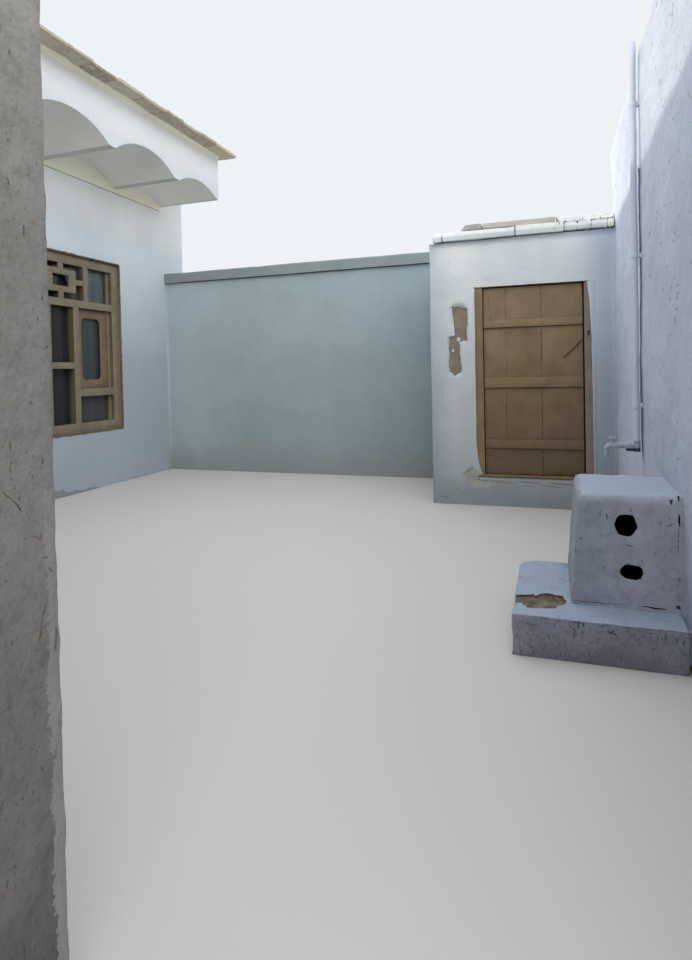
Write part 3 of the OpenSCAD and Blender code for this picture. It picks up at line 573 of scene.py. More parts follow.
def add_block(bm, lo, hi, edge, cell, depth, size, seed, tone=0.5, turn=0.0, material=0, shape=None):
    """Adds one worn block, such as a slab, a brick or a board. edge is the radius of its edges, and
    cell, depth, size and seed are for its wear. shape may move its plain corners."""
    one = bmesh.new()
    bmesh.ops.create_cube(one, size=1)
    lo, hi = Vector(lo), Vector(hi)
    middle, side = (lo + hi) / 2, hi - lo
    for v in one.verts:
        v.co = middle + Vector([v.co[i] * side[i] for i in range(3)])
        if shape:
            v.co = shape(v.co)
    bevel(one, one.edges[:], edge, 2)
    slice_grid(one, cell)
    if depth:
        wear(one, depth, size, seed)
    if turn:
        bmesh.ops.rotate(one, verts=one.verts, cent=middle, matrix=Matrix.Rotation(turn, 3, "Z"))
    set_tone(one, tone)
    for face in one.faces:
        face.material_index = material
    append(bm, one)


def add_tube(bm, path, radii, sides=20, flat=Vector()):
    """Adds a closed tube along a path, with its own radius at each point. flat is the way in which
    it is pressed flat."""
    one = bmesh.new()
    path = [Vector(point) for point in path]
    rings = []
    side = None
    for i, point in enumerate(path):
        ahead = (path[min(i + 1, len(path) - 1)] - path[max(i - 1, 0)]).normalized()
        side = (side if side else ahead.orthogonal()).cross(ahead).cross(ahead).normalized() * -1
        other = ahead.cross(side)
        ring = []
        for k in range(sides):
            angle = 2 * math.pi * k / sides
            off = radii[i] * (math.cos(angle) * side + math.sin(angle) * other)
            ring.append(one.verts.new(point + off - 0.85 * off.dot(flat) * flat))
        rings.append(ring)
    for a, b in zip(rings, rings[1:]):
        join_rings(one, a, b)
    one.faces.new(rings[0][::-1])
    one.faces.new(rings[-1])
    bmesh.ops.recalc_face_normals(one, faces=one.faces)
    set_tone(one, 0.5)
    append(bm, one)


def join_rings(bm, a, b):
    """The faces between two closed rings of points."""
    around = range(len(a))
    return [bm.faces.new((a[k], a[(k + 1) % len(a)], b[(k + 1) % len(a)], b[k])) for k in around]


def piece(name, bm, materials, nodes=(), body="house", sharp=38):
    """Makes a finished mesh into a piece of the house that stands for CAD nodes."""
    made = mesh_object(name, bm, materials)
    made.data.shade_smooth()
    made.data.set_sharp_from_angle(angle=math.radians(sharp))
    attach(made, body)
    if nodes:
        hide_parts(*nodes)


def paint(bm, index, where):
    """Gives the faces that where picks another of the piece's materials."""
    bm.normal_update()
    for face in bm.faces:
        if where(face.calc_center_median(), face.normal):
            face.material_index = index


def flaked(bm, beds, inwards, materials):
    """Cuts shallow beds where the plaster has come off. Each bed is (outline, depth, how ragged its
    edge is, the number of the material that lines it)."""
    cutter = bmesh.new()
    for number, (outline, depth, ragged, lining) in enumerate(beds):
        rng = random.Random(number)
        ring = []
        for a, b in zip(outline, outline[1:] + outline[:1]):
            steps = max(1, round((b - a).length / 0.012))
            for i in range(steps):
                spot = a.lerp(b, i / steps)
                chip = noise.noise_vector(spot / 0.045) * ragged
                chip += Vector([rng.uniform(-0.2, 0.2) * ragged for _ in range(3)])
                ring.append(spot + chip - inwards * chip.dot(inwards))
        outer = [cutter.verts.new(p - inwards * 0.05) for p in ring]
        inner = [cutter.verts.new(p + inwards * depth) for p in ring]
        faces = [cutter.faces.new((outer[i], outer[i - 1], inner[i - 1], inner[i])) for i in range(len(ring))]
        faces += [cutter.faces.new(outer), cutter.faces.new(inner)]
        for face in faces:
            face.material_index = lining
    bmesh.ops.recalc_face_normals(cutter, faces=cutter.faces)
    return combined([bm, cutter], "DIFFERENCE", materials)


def add_split(bm, surface, start, end, width, inwards, wave=0.005):
    """A crack as a thin dark wedge, let into the surface that a tree of faces gives."""
    side = (end - start).cross(inwards).normalized()
    count = max(6, round((end - start).length / 0.012))
    path, radii = [], []
    for t in range(count + 1):
        spot = start.lerp(end, t / count)
        spot += side * wave * noise.noise(spot / 0.03)
        hit = surface.ray_cast(spot - inwards * 0.1, inwards)[0]
        path.append(hit if hit else spot)
        radii.append(width / 2 * MM * (0.25 + 0.75 * abs(math.sin(math.pi * (t + 0.5) / (count + 1)))))
    add_tube(bm, path, radii, 8, flat=inwards)


def make_splits(name, wall, rows, place, inwards, wave, material):
    """A piece of cracks in a wall's face. Each row is (across, height) of a crack's start, the same
    of its end, and its width in mm, and place turns across and height into a point."""
    marks = new_mesh()
    faces = BVHTree.FromBMesh(wall)
    for across0, z0, across1, z1, width in rows:
        add_split(marks, faces, place(across0, z0), place(across1, z1), width, inwards, wave)
    piece(name, marks, (material,))


def is_upright(edge, length):
    """Whether an edge rises by more than this length."""
    return abs(edge.verts[0].co.z - edge.verts[1].co.z) > length


# The main wing

def make_wing():
    names = ("wing_front_wall", "wing_north_wall", "wing_back_wall", "wing_south_wall",
             "wing_roof_slab", "wing_mud_roof")
    bm = union_of(*names)
    slab_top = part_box("wing_roof_slab")[1].z
    corner_radius, edge_radius = 0.022, 0.006

    def radius(mid, edge):
        if mid.z < 1 * MM or mid.z > slab_top + 0.16:
            return 0
        # No edge of an opening is 3 m high
        return corner_radius if is_upright(edge, 3) else edge_radius

    round_edges(bm, radius)
    slice_grid(bm, 0.14)
    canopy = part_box("canopy")[1]
    # The tones change along these planes
    for spot, normal in (((0, 0, LINE_Z), UP), ((0, canopy.y, 0), NORTH), ((0, -canopy.y, 0), NORTH),
                         ((FRAME_X, 0, 0), EAST)):
        cut_plane(bm, spot, normal)
    wear(bm, 5 * MM, 1.1, 1)
    openings = [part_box("window_frame"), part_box("room_door_frame")]

    def in_reveal(spot, normal):
        return abs(normal.x) < 0.8 and FRAME_X - 1 * MM < spot.x < YARD_X - 0.3 * MM and any(
            lo.y - 0.02 < spot.y < hi.y + 0.02 and lo.z - 0.02 < spot.z < hi.z + 0.02 for lo, hi in openings)

    paint(bm, 4, lambda spot, normal: spot.x < YARD_X - 0.02 or normal.x < 0.5)
    paint(bm, 1, in_reveal)
    paint(bm, 2, lambda spot, normal: spot.z > slab_top + 0.12 and normal.z > 0.7)
    paint(bm, 3, lambda spot, normal: normal.x > 0.5 and spot.z > LINE_Z and abs(spot.y) < canopy.y)
    finishes = (WING_LIME, REVEAL_MUD, ROOF_MUD, CREAM_LIME, OUTER_LIME)
    piece("wing_walls", bm, finishes, names)


def make_canopy():
    bm = union_of("canopy")
    lo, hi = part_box("canopy")
    front_x = hi.x - 6 * MM
    round_edges(bm, lambda mid, edge: 0 if mid.x < lo.x + MM or mid.z > hi.z - MM else 5 * MM, 2)
    slice_grid(bm, 0.12)
    wear(bm, 3 * MM, 0.9, 2, joins=((0, lo.x, -JOIN),))
    # The underside takes the warmer lime, painted reflected light, and the ribs' flat undersides the greyer
    # lime, painted shade
    paint(bm, 1, lambda spot, normal: normal.z < -0.12 and spot.x < front_x)
    paint(bm, 2, lambda spot, normal: normal.z < -0.9 and spot.x < front_x and spot.z < lo.z + 9 * MM)
    finishes = (CANOPY_LIME, SOFFIT_BOUNCE_LIME, RIB_SHADE_LIME)
    piece("scalloped_canopy", bm, finishes, ("canopy",), sharp=20)
    # Cream plaster fills the corner under the roof's edge, in the cream lime that is lightened as painted
    # light
    bm = new_mesh()
    add_cove(bm, (hi.x, lo.y, hi.z), (hi.x, hi.y, hi.z), EAST, DOWN, 0.034, 9)
    piece("roof_edge_fillet", bm, (CREAM_LIME,))


def roof_edge_runs():
    """The strips of the roof's edge course on plan: (x0, y0, x1, y1, axis of its length, outer side)."""
    lo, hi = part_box("roof_edge_course")
    width = 0.3
    wall_x = YARD_X + 0.06
    end_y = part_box("canopy")[1].y + 0.13
    runs = [(hi.x - width, -end_y, hi.x, end_y, 1, 1),
            (lo.x, lo.y + width, lo.x + width, hi.y - width, 1, -1)]
    for side in (-1, 1):
        for x0, x1, inner, outer, axis, out in ((lo.x, wall_x - width, hi.y - width, hi.y, 0, side),
                                                (wall_x - width, hi.x - width, end_y - width, end_y, 0, side),
                                                (wall_x - width, wall_x, end_y, hi.y, 1, 1)):
            y0, y1 = sorted((side * inner, side * outer))
            runs.append((x0, y0, x1, y1, axis, out))
    return runs


def make_roof_edge():
    """Flat clay tiles bedded in mud, uneven along their outer edge, with lumps of mud on top."""
    rng = random.Random(11)
    lo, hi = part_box("roof_edge_course")
    bm = new_mesh()
    for number, (x0, y0, x1, y1, axis, outer) in enumerate(roof_edge_runs()):
        start, end = (x0, x1) if axis == 0 else (y0, y1)
        across = 1 - axis
        at = start
        while at < end - 0.01:
            length = rng.uniform(0.24, 0.42)
            stop = end if end - at - length < 0.16 else at + length
            top = lo.z + rng.uniform(0.034, 0.046)
            inset = rng.choice((0, 0.005, 0.012, 0.022, 0.032))
            low, high = [x0, y0, lo.z], [x1, y1, top]
            low[axis], high[axis] = at + 2 * MM, stop - 2 * MM
            if outer > 0:
                high[across] -= inset
            else:
                low[across] += inset
            add_block(bm, low, high, 6 * MM, 0.05, 11 * MM, 0.06, number + at, tone=rng.random())
            for _ in range(3):
                add_lump(bm, low, high, hi.z, rng)
            at = stop
    piece("roof_edge_tiles", bm, (EDGE_CLAY,), ("roof_edge_course",))


def add_lump(bm, low, high, limit_z, rng):
    """A lump of mud pressed on a tile, inside the tile's sides and under limit_z."""
    spot = Vector([rng.uniform(low[k] + 0.05, high[k] - 0.05) for k in (0, 1)] + [high[2] - 0.012])
    lump = bmesh.new()
    bmesh.ops.create_icosphere(lump, subdivisions=2, radius=1)
    size = rng.uniform(0.04, 0.1)
    flat = min(limit_z - spot.z, rng.uniform(0.014, 0.03))
    turned = Matrix.Rotation(rng.uniform(0, 3), 3, "Z")
    for v in lump.verts:
        place = turned @ Vector((v.co.x * size, v.co.y * size * 0.6, v.co.z * flat))
        v.co = spot + place * (1 + 0.25 * noise.noise((spot + place) * 30))
        for axis in (0, 1):
            v.co[axis] = min(high[axis], max(low[axis], v.co[axis]))
        v.co.z = min(v.co.z, limit_z)
    set_tone(lump, rng.random())
    append(bm, lump)


# Timber of the wing

def set_back(bm, lo, hi, near, side):
    """Moves a casement well back from the frame's face, into its shadow, and widens the stile at its
    near end. side is the way to its far end."""
    front, back = 45 * MM, 29 * MM
    cad_stile, stile, narrower = 0.051, 0.090, 0.846
    for v in bm.verts:
        v.co.x -= front if v.co.x > (lo.x + hi.x) / 2 else back
        along = (v.co.y - near) * side
        if 0.04 < along < hi.y - lo.y - 0.13:
            v.co.y = near + side * (stile + (along - cad_stile) * narrower)


def make_joinery():
    for name, material in (("window_frame", WINDOW_PAINT), ("window_lattice", WINDOW_PAINT),
                           ("casement_south", CASEMENT_PAINT), ("casement_north", CASEMENT_PAINT),
                           ("room_door_frame", WINDOW_PAINT), ("room_door", CASEMENT_PAINT)):
        bm = union_of(name)
        lo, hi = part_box(name)
        if name == "casement_north":
            set_back(bm, lo, hi, lo.y, 1)
        if name == "casement_south":
            set_back(bm, lo, hi, hi.y, -1)
        round_edges(bm, lambda mid, edge: 2.5 * MM, 2)
        slice_grid(bm, 0.15)
        # The inner sides of the openings take the second material: on the frame darker paint, dust and
        # painted shade, on a casement a nearly black pane edge
        if name == "window_frame" or name.startswith("casement"):
            paint(bm, 1, lambda spot, normal: abs(normal.x) < 0.5 and lo.y + 0.03 < spot.y < hi.y - 0.03
                  and lo.z + 0.03 < spot.z < hi.z - 0.03)
        inner = PANE_EDGE_DARK if name.startswith("casement") else REVEAL_DUST_AND_SHADE
        piece(name + "_timber", bm, (material, inner), (name,), sharp=30)


# Yard walls

def make_coping(name, depth, seed, joins):
    bm = union_of(name)
    slice_grid(bm, 0.09)
    wear(bm, depth, 0.4, seed, joins)
    piece(name + "_plaster", bm, (COPING_LIME,), (name,))


def make_back_wall():
    joins = ((0, BACK_LO.x, -JOIN), (0, BACK_HI.x, JOIN))
    bm = union_of("back_wall")
    slice_grid(bm, 0.11)
    wear(bm, 9 * MM, 0.9, 3, joins)
    # Like the other yard walls, it is bare outside
    paint(bm, 1, lambda spot, normal: normal.y > 0.5 and spot.y > BACK_HI.y - 0.05)
    piece("back_wall_plaster", bm, (BACK_LIME, BARE_PLASTER), ("back_wall",))
    make_coping("back_wall_coping", 9 * MM, 4, joins)


def make_south_wall():
    joins = ((0, SOUTH_LO.x, -JOIN),)
    jamb_x = SOUTH_HI.x
    bm = union_of("south_wall")
    round_edges(bm, lambda mid, edge: 0.01 if mid.x > jamb_x - 0.01 and mid.z > 0.1 else 0)
    slice_grid(bm, 0.06)
    # The gateway's corner is seen from close by, so it gets smaller cells
    close = [edge for edge in bm.edges if all(v.co.x > jamb_x - 0.2 for v in edge.verts)]
    bmesh.ops.subdivide_edges(bm, edges=close, cuts=2, use_grid_fill=True)
    wear(bm, 6 * MM, 0.1, 5, joins)
    # Cracks and chips on the gateway's reveal, near its rubbed corner
    make_splits("gateway_cracks", bm, (
        (-3.295, 1.146, -3.272, 1.124, 4), (-3.272, 1.124, -3.250, 1.098, 5),
        (-3.202, 1.042, -3.208, 1.026, 5), (-3.230, 1.043, -3.210, 1.034, 3),
        (-3.200, 0.896, -3.211, 0.864, 4), (-3.211, 0.864, -3.222, 0.822, 7),
        (-3.204, 0.989, -3.188, 0.988, 3), (-3.191, 0.968, -3.178, 0.955, 5),
        (-3.225, 1.672, -3.226, 1.648, 5), (-3.275, 1.195, -3.276, 1.180, 4),
        (-3.272, 1.240, -3.274, 1.222, 4), (-3.178, 0.836, -3.179, 0.790, 8)),
        lambda y, z: Vector((jamb_x, y, z)), WEST, 0.004, SPLIT_MUD)
    # Lime covers the yard side only, up to the rough corner of the gateway
    paint(bm, 1, lambda spot, normal: normal.y > 0.6 and spot.x < jamb_x - 0.01)
    piece("south_wall_plaster", bm, (BARE_PLASTER, BACK_LIME), ("south_wall",))
    make_coping("south_wall_coping", 10 * MM, 6, joins)


def make_east_wall():
    names = ("east_wall", "east_wall_north")
    bm = softened(union_of(*names), 0.04, 2)
    wear(bm, 13 * MM, 0.55, 7)
    keep_inside(bm, names)
    # Finger marks and dents where the wall was patched, drawn as flat marks in painted shade: (y, z, length,
    # width), the last two in mm
    dents = new_mesh()
    faces = BVHTree.FromBMesh(bm)
    for y, z, length, width in ((-0.743, 2.387, 60, 26), (-0.973, 2.364, 70, 20), (-0.363, 2.229, 60, 26),
                                (-0.326, 2.198, 45, 22), (-0.099, 2.161, 60, 28), (-0.085, 2.135, 45, 22),
                                (-0.638, 2.063, 50, 20), (-0.483, 2.031, 70, 20), (-0.413, 1.978, 50, 20),
                                (-0.656, 1.874, 70, 24), (-0.080, 1.916, 60, 24), (-0.529, 1.770, 110, 14),
                                (-0.913, 1.709, 90, 18), (-0.900, 1.745, 60, 14), (-1.228, 1.805, 80, 24)):
        half = Vector((0, 0.4 * length * MM, 0))
        middle = Vector((EAST_X, y, z))
        add_split(dents, faces, middle - half, middle + half, 0.8 * width, EAST, 0.006)
    piece("east_wall_dents", dents, (DENT_SHADE,))

    def is_outer(spot, normal):
        north = normal.y if spot.y > STORE_HI.y - 0.1 else 0
        return max(normal.x, -normal.y, north) > 0.5 + 0.2 * noise.noise(spot / 0.4)

    # Outside and at both ends, the wall is bare mud plaster
    paint(bm, 1, is_outer)
    piece("east_wall_plaster", bm, (EAST_LIME, BARE_PLASTER), names)


def make_plinth(joins):
    bm = softened(union_of("stand_plinth"), 0.018, 3)
    wear(bm, 12 * MM, 0.16, 8, joins)
    keep_inside(bm, ("stand_plinth",), joins)
    make_splits("plinth_marks", bm, (
        (4.285, 0.184, 4.356, 0.182, 5), (4.412, 0.184, 4.455, 0.186, 5), (4.512, 0.184, 4.575, 0.182, 4),
        (4.455, 0.158, 4.496, 0.144, 9), (4.470, 0.150, 4.484, 0.166, 7), (4.309, 0.158, 4.316, 0.107, 5),
        (4.588, 0.172, 4.650, 0.170, 3), (4.656, 0.172, 4.658, 0.140, 4), (4.100, 0.160, 4.150, 0.150, 4),
        (4.190, 0.120, 4.205, 0.090, 5)),
        lambda x, z: Vector((x, PLINTH_LO.y, z)), NORTH, 0.009, SPLIT_GREY)
    # The plaster has come off one place on top
    bare = ((4.029, -1.048), (4.037, -0.963), (4.122, -0.930), (4.135, -0.955), (4.157, -0.939),
            (4.163, -0.909), (4.210, -0.906), (4.266, -0.927), (4.293, -0.984), (4.283, -1.013),
            (4.253, -1.039), (4.228, -1.105), (4.193, -1.107), (4.110, -1.130), (4.077, -1.070),
            (4.045, -1.061))
    outline = [Vector((x, y, PLINTH_HI.z)) for x, y in bare]
    finishes = (PLINTH_LIME, PLINTH_MUD)
    bm = flaked(bm, ((outline, 0.016, 0.011, 1),), DOWN, finishes)
    piece("plinth_plaster", bm, finishes, ("stand_plinth",))


def make_stand():
    joins = ((0, EAST_X, JOIN),)
    make_plinth(joins)
    lo, hi = STAND_LO, STAND_HI
    bm = softened(union_of("masonry_stand"), 0.012, 1)
    wear(bm, 8 * MM, 0.13, 9, joins)
    # The two holes were broken through by hand: (across, height, how far the chips reach)
    for x, z, reach in ((0.256, 0.398, 0.10), (0.280, 0.170, 0.08)):
        for v in bm.verts:
            off = Vector((v.co.x - lo.x - x, 0, v.co.z - PLINTH_HI.z - z))
            if off.length < reach and v.co.y < lo.y + 0.3:
                chip = Vector((v.co.x, v.co.y * 0.4, v.co.z)) / 0.035
                share = min(1, 2 * (1 - off.length / reach))
                amount = 11 * MM * share
                v.co.x += amount * noise.noise(chip) - 0.14 * off.x * share
                v.co.z += amount * noise.noise(chip + Vector((31, 0, 0)))
    for v in bm.verts:
        if v.co.z < lo.z + 5 * MM:
            v.co.z = lo.z - 0.02
    # Inside the holes the faces are painted near-black: painted shade in the deep holes
    paint(bm, 1, lambda spot, normal: lo.y + 0.012 < spot.y < lo.y + 0.4
          and lo.x + 0.12 < spot.x < EAST_X - 0.1 and lo.z + 0.06 < spot.z < hi.z - 0.06)
    # Broken plaster along the wall's side, and the splits near it
    make_splits("stand_splits", bm, (
        (4.786, 0.665, 4.789, 0.605, 9), (4.788, 0.750, 4.787, 0.722, 7), (4.784, 0.600, 4.786, 0.480, 3),
        (4.738, 0.600, 4.760, 0.618, 4), (4.310, 0.208, 4.560, 0.210, 3), (4.625, 0.211, 4.735, 0.208, 7),
        (4.350, 0.520, 4.362, 0.523, 5), (4.555, 0.500, 4.590, 0.498, 4)),
        lambda x, z: Vector((x, lo.y, z)), NORTH, 0.005, DEEP_SHADE)
    beds = [([Vector((x, lo.y, z)) for x, z in chip], 0.014, 0.006, 2) for chip in (
        ((4.732, 0.758), (4.748, 0.744), (4.772, 0.747), (4.766, 0.731), (4.757, 0.703), (4.748, 0.722)),
        ((4.770, 0.226), (4.790, 0.230), (4.794, 0.214), (4.776, 0.212)))]
    finishes = (STAND_LIME, DEEP_SHADE, STAND_CORE)
    bm = flaked(bm, beds, NORTH, finishes)
    piece("stand_plaster", bm, finishes, ("masonry_stand",))


# The store

def make_store():
    names = ("store_front_left", "store_front_right", "store_front_over_door", "store_sill",
             "store_west_wall", "store_back_wall")
    bm = union_of(*names)
    front = STORE_LO.y
    corner_radius, doorway_radius = 0.028, 3 * MM

    def radius(mid, edge):
        if mid.z < MM or mid.x > EAST_X - MM:
            return 0
        if JAMBS_LO.x - 0.01 < mid.x < JAMBS_HI.x + 0.01 and mid.y < front + 0.36:
            return doorway_radius
        return corner_radius if is_upright(edge, 2) else 0

    round_edges(bm, radius, 4)
    slice_grid(bm, 0.085)
    wear(bm, 9 * MM, 0.7, 10, ((0, EAST_X, JOIN),))
    make_splits("sill_splits", bm, (
        (3.640, 0.252, 3.860, 0.247, 6), (3.900, 0.250, 4.130, 0.241, 7), (4.190, 0.247, 4.420, 0.238, 8),
        (4.100, 0.226, 4.330, 0.207, 5), (3.700, 0.232, 3.900, 0.226, 4), (3.960, 0.214, 4.060, 0.209, 4),
        (3.105, 0.080, 3.230, 0.060, 5), (3.280, 0.160, 3.330, 0.150, 4)),
        lambda x, z: Vector((x, front, z)), NORTH, 0.008, SPLIT_GREY)
    # The lime has come off the mud left of the door, and the doorway's lower left corner has crumbled
    flake = ((3.286, 2.001), (3.436, 1.973), (3.431, 1.652), (3.351, 1.645), (3.376, 1.342),
             (3.305, 1.303), (3.250, 1.355), (3.257, 1.699), (3.312, 1.717))
    crumbled = ((3.388, 0.318), (3.412, 0.343), (3.449, 0.360), (3.480, 0.366), (3.487, 0.335),
                (3.490, 0.262), (3.560, 0.252), (3.640, 0.246), (3.700, 0.236), (3.690, 0.208),
                (3.633, 0.196), (3.564, 0.202), (3.505, 0.186), (3.446, 0.214), (3.410, 0.242),
                (3.392, 0.285))
    beds = [([Vector((x, front, z)) for x, z in outline], depth, ragged, lining)
            for outline, depth, ragged, lining in ((flake, 0.013, 0.011, 1), (crumbled, 0.0095, 0.010, 2))]
    finishes = (STORE_LIME, BARE_MUD, CRUMBS, OUTER_LIME)
    bm = flaked(bm, beds, NORTH, finishes)
    paint(bm, 3, lambda spot, normal: normal.y > 0.5 and spot.y > BACK_HI.y - 0.05)
    piece("store_plaster", bm, finishes, names)

    # Two bits of lime still cling to the flaked place
    bm = new_mesh()
    for x, z, size, seed in ((3.347, 1.671, 0.017, 3), (3.288, 1.560, 0.012, 8)):
        add_block(bm, (x - size, front + 4 * MM, z - 1.3 * size), (x + size, front + 16 * MM, z + 1.3 * size),
                  4 * MM, 0.01, 4 * MM, 0.02, seed)
    piece("lime_remnants", bm, (STORE_LIME,))

    bm = union_of("store_roof")
    slice_grid(bm, 0.08)
    wear(bm, 14 * MM, 0.35, 12)
    piece("store_roof_mud", bm, (ROOF_MUD,), ("store_roof",))


def add_rubble(bm, start, front, back, low_z, high_z, seed, material, rng):
    """Lumps of stone and mud under a rough coat of lime, up to the east wall."""
    at = start
    while at < EAST_X - 0.02:
        stop = at + rng.uniform(0.08, 0.15)
        stop = EAST_X if EAST_X - stop < 0.05 else stop
        add_block(bm, (at - 4 * MM, front + rng.uniform(0, 14) * MM, low_z),
                  (stop + 4 * MM, back, high_z - rng.uniform(0, 14) * MM), 16 * MM, 0.03, 20 * MM, 0.05,
                  seed + at, tone=rng.random(), turn=rng.uniform(-0.05, 0.05), material=material)
        at = stop


def make_store_coping():
    """Limewashed slabs in a ring over the walls, and unpainted bricks on them along the front."""
    rng = random.Random(5)
    wall = 0.35
    slabs_end_x, bricks_end_x = 4.362, 4.290
    lo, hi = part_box("store_coping_lower")
    slabs_top = hi.z
    front_y = lo.y
    front_back = STORE_LO.y + wall
    bm = new_mesh()

    def run(axis, fixed, cuts, gap):
        for number, (a, b) in enumerate(zip(cuts, cuts[1:])):
            low, high = [0, 0, lo.z], [0, 0, hi.z - rng.uniform(0, 8) * MM]
            low[axis], high[axis] = a + gap / 2, b - gap / 2
            low[1 - axis], high[1 - axis] = fixed
            add_block(bm, low, high, 9 * MM, 0.06, 9 * MM, 0.12, 30 * axis + number + fixed[0],
                      tone=rng.random(), turn=rng.uniform(-0.004, 0.004))

    run(0, (lo.y, front_back), (lo.x, 3.201, 3.912, slabs_end_x), 1.5 * MM)
    add_rubble(bm, slabs_end_x, lo.y, front_back, lo.z, hi.z, 90, 0, rng)
    start_y = lo.y + 0.04 + wall
    run(1, (lo.x, STORE_LO.x + wall), (start_y, start_y + 0.57, hi.y - 0.43), 7 * MM)
    run(0, (hi.y - 0.39, hi.y), (lo.x, 3.62, 4.23, EAST_X), 7 * MM)
    run(1, (EAST_X, hi.x), (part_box("east_wall_north")[0].y, 2.75, 3.35, hi.y), 7 * MM)
    # Mud mortar shows in the gaps, but lime has run into those of the rubble
    for a, b, back, material in ((lo.x + 0.02, slabs_end_x, 12 * MM, 1),
                                 (slabs_end_x - 0.022, EAST_X, 28 * MM, 0)):
        add_block(bm, (a, lo.y + back, lo.z + 0.016), (b, front_back - 0.02, hi.z - 0.026),
                  4 * MM, 0.1, 4 * MM, 0.1, 77, material=material)
    piece("store_coping_slabs", bm, (SLAB_LIME, JOINT_MUD), ("store_coping_lower",))

    lo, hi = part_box("store_coping_upper")
    bm = new_mesh()

    def slanted(place):
        """The first brick's left end is broken off aslant."""
        if place.x < lo.x + 0.02 and place.z > lo.z + 0.03:
            place.x += 0.045
        return place

    bricks = ((lo.x, 3.596, 0, slanted), (3.596, bricks_end_x, 0.9, None))
    for number, (a, b, tone, shape) in enumerate(bricks):
        add_block(bm, (a + 3 * MM, lo.y + rng.uniform(0, 6) * MM, lo.z),
                  (b - 3 * MM, hi.y, hi.z - rng.uniform(0, 6) * MM), 8 * MM, 0.05, 9 * MM, 0.09, 50 + number,
                  tone=tone, shape=shape)
    add_rubble(bm, bricks_end_x, lo.y, hi.y, lo.z - 6 * MM, hi.z, 50, 1, rng)
    piece("store_coping_bricks", bm, (BRICK_CLAY, SLAB_LIME), ("store_coping_upper",))

    # Crevices in the joints, where the mortar has dropped out
    bm = new_mesh()
    for x0, z0, x1, z1, width in ((3.201, 2.708, 3.200, 2.672, 9), (3.911, 2.722, 3.909, 2.684, 9),
                                  (4.290, 2.800, 4.312, 2.752, 16), (4.318, 2.742, 4.320, 2.724, 8),
                                  (4.540, 2.668, 4.548, 2.646, 16), (3.600, 2.770, 3.604, 2.745, 8)):
        depth = front_y + (0.04 if (z0 + z1) / 2 > slabs_top else 0)
        add_tube(bm, [(x0 + (x1 - x0) * t / 6, depth + 3 * MM, z0 + (z1 - z0) * t / 6) for t in range(7)],
                 [width / 2 * MM * (0.4 + 0.6 * math.sin(0.5 * t)) for t in range(7)], 8)
    piece("coping_crevices", bm, (SPLIT_BROWN,))


# The store's door

def add_pin(bm, spot, depths, radii, sides):
    """The round head of a nail let in at a spot, with its radius at each depth, all in mm."""
    add_tube(bm, [spot + NORTH * (depth * MM) for depth in depths], [radius * MM for radius in radii], sides)


def make_door():
    lo, hi = LEAF_LO, LEAF_HI
    bm = new_mesh()
    # The first two boards are nearly flush, the third has shrunk away from them: (left side, right
    # side, the gaps beside them in mm, radius of the edges in mm, tone)
    boards = ((lo.x, 3.805, 0, 0.1, 0.4, 0.3), (3.805, 4.141, 0.1, 0.7, 0.5, 0.5),
              (4.141, hi.x, 0.7, 0, 2.0, 0.4))
    for number, (a, b, left, right, edge, tone) in enumerate(boards):
        add_block(bm, (a + left * MM, lo.y, lo.z), (b - right * MM, hi.y, hi.z), edge * MM, 0.09, 2 * MM,
                  0.25, 60 + number, tone=tone)
    piece("door_boards", bm, (DOOR_BOARD,), ("store_door_leaf",), body="store_door")

    battens = new_mesh()
    nails = new_mesh()
    face_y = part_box("store_door_battens")[0].y
    rows = ((lo.z + 0.256, 0.089, 0.5), (lo.z + 0.858, 0.103, 0.2), (lo.z + 1.455, 0.075, 0.35))
    for number, (z, height, tone) in enumerate(rows):
        add_block(battens, (lo.x, face_y, z), (hi.x, lo.y, z + height), 4 * MM, 0.08, 3 * MM, 0.2,
                  70 + number, tone=tone)
        for x in (3.63, 3.76, 3.86, 4.08, 4.20, 4.47):
            for share in (0.28, 0.72):
                off = 0.01 * noise.noise(Vector((x, z, share)) * 40)
                add_pin(nails, Vector((x + off, face_y, z + share * height)), (0.6, 1.2, 3.5, 6),
                        (1.5, 4, 4.5, 4.5), 10)
    piece("door_battens", battens, (DOOR_BATTEN,), ("store_door_battens",), body="store_door")
    # A few heads and knots on the boards themselves
    for x, z in ((4.142, 1.462), (4.393, 0.392), (3.659, 1.875), (4.30, 1.93), (3.66, 1.10)):
        add_pin(nails, Vector((x, lo.y, z)), (-0.8, 0.2, 4), (3, 6, 6), 10)
    piece("door_nails", nails, (RUST,), body="store_door")

    # Drying splits, as thin dark wedges let into the boards
    bm = new_mesh()
    for x0, z0, x1, z1, width in ((3.593, 0.514, 3.77, 0.476, 5), (3.671, 1.30, 3.676, 1.16, 2.5),
                                  (3.80, 1.02, 3.806, 0.70, 3), (4.139, 1.72, 4.143, 1.40, 4),
                                  (3.64, 2.10, 3.645, 1.93, 2.5), (4.36, 0.66, 4.363, 0.90, 2)):
        a, b = Vector((x0, lo.y - 0.4 * MM, z0)), Vector((x1, lo.y - 0.4 * MM, z1))
        wave = 0.004 if x1 - x0 > 0.1 else 0
        add_tube(bm, [a.lerp(b, t / 6) + UP * (wave * math.sin(2.1 * t)) for t in range(7)],
                 [width / 2 * MM * (1 - 0.8 * t / 6) for t in range(7)], 6)
    # Painted shadow under each batten: a thin dark strip along its lower edge
    for z, height, tone in rows:
        path = [Vector((lo.x + 0.004 + (hi.x - lo.x - 0.008) * t / 12, lo.y, z - 1.5 * MM))
                for t in range(13)]
        add_tube(bm, path, [(2.2 + 1.3 * noise.noise(p * 9)) * MM for p in path], 6)
    for v in bm.verts:
        v.co.y = lo.y - 0.5 * MM + 0.3 * (v.co.y - lo.y)
    piece("door_splits_and_batten_shadows", bm, (CRACK_DARK,), body="store_door")


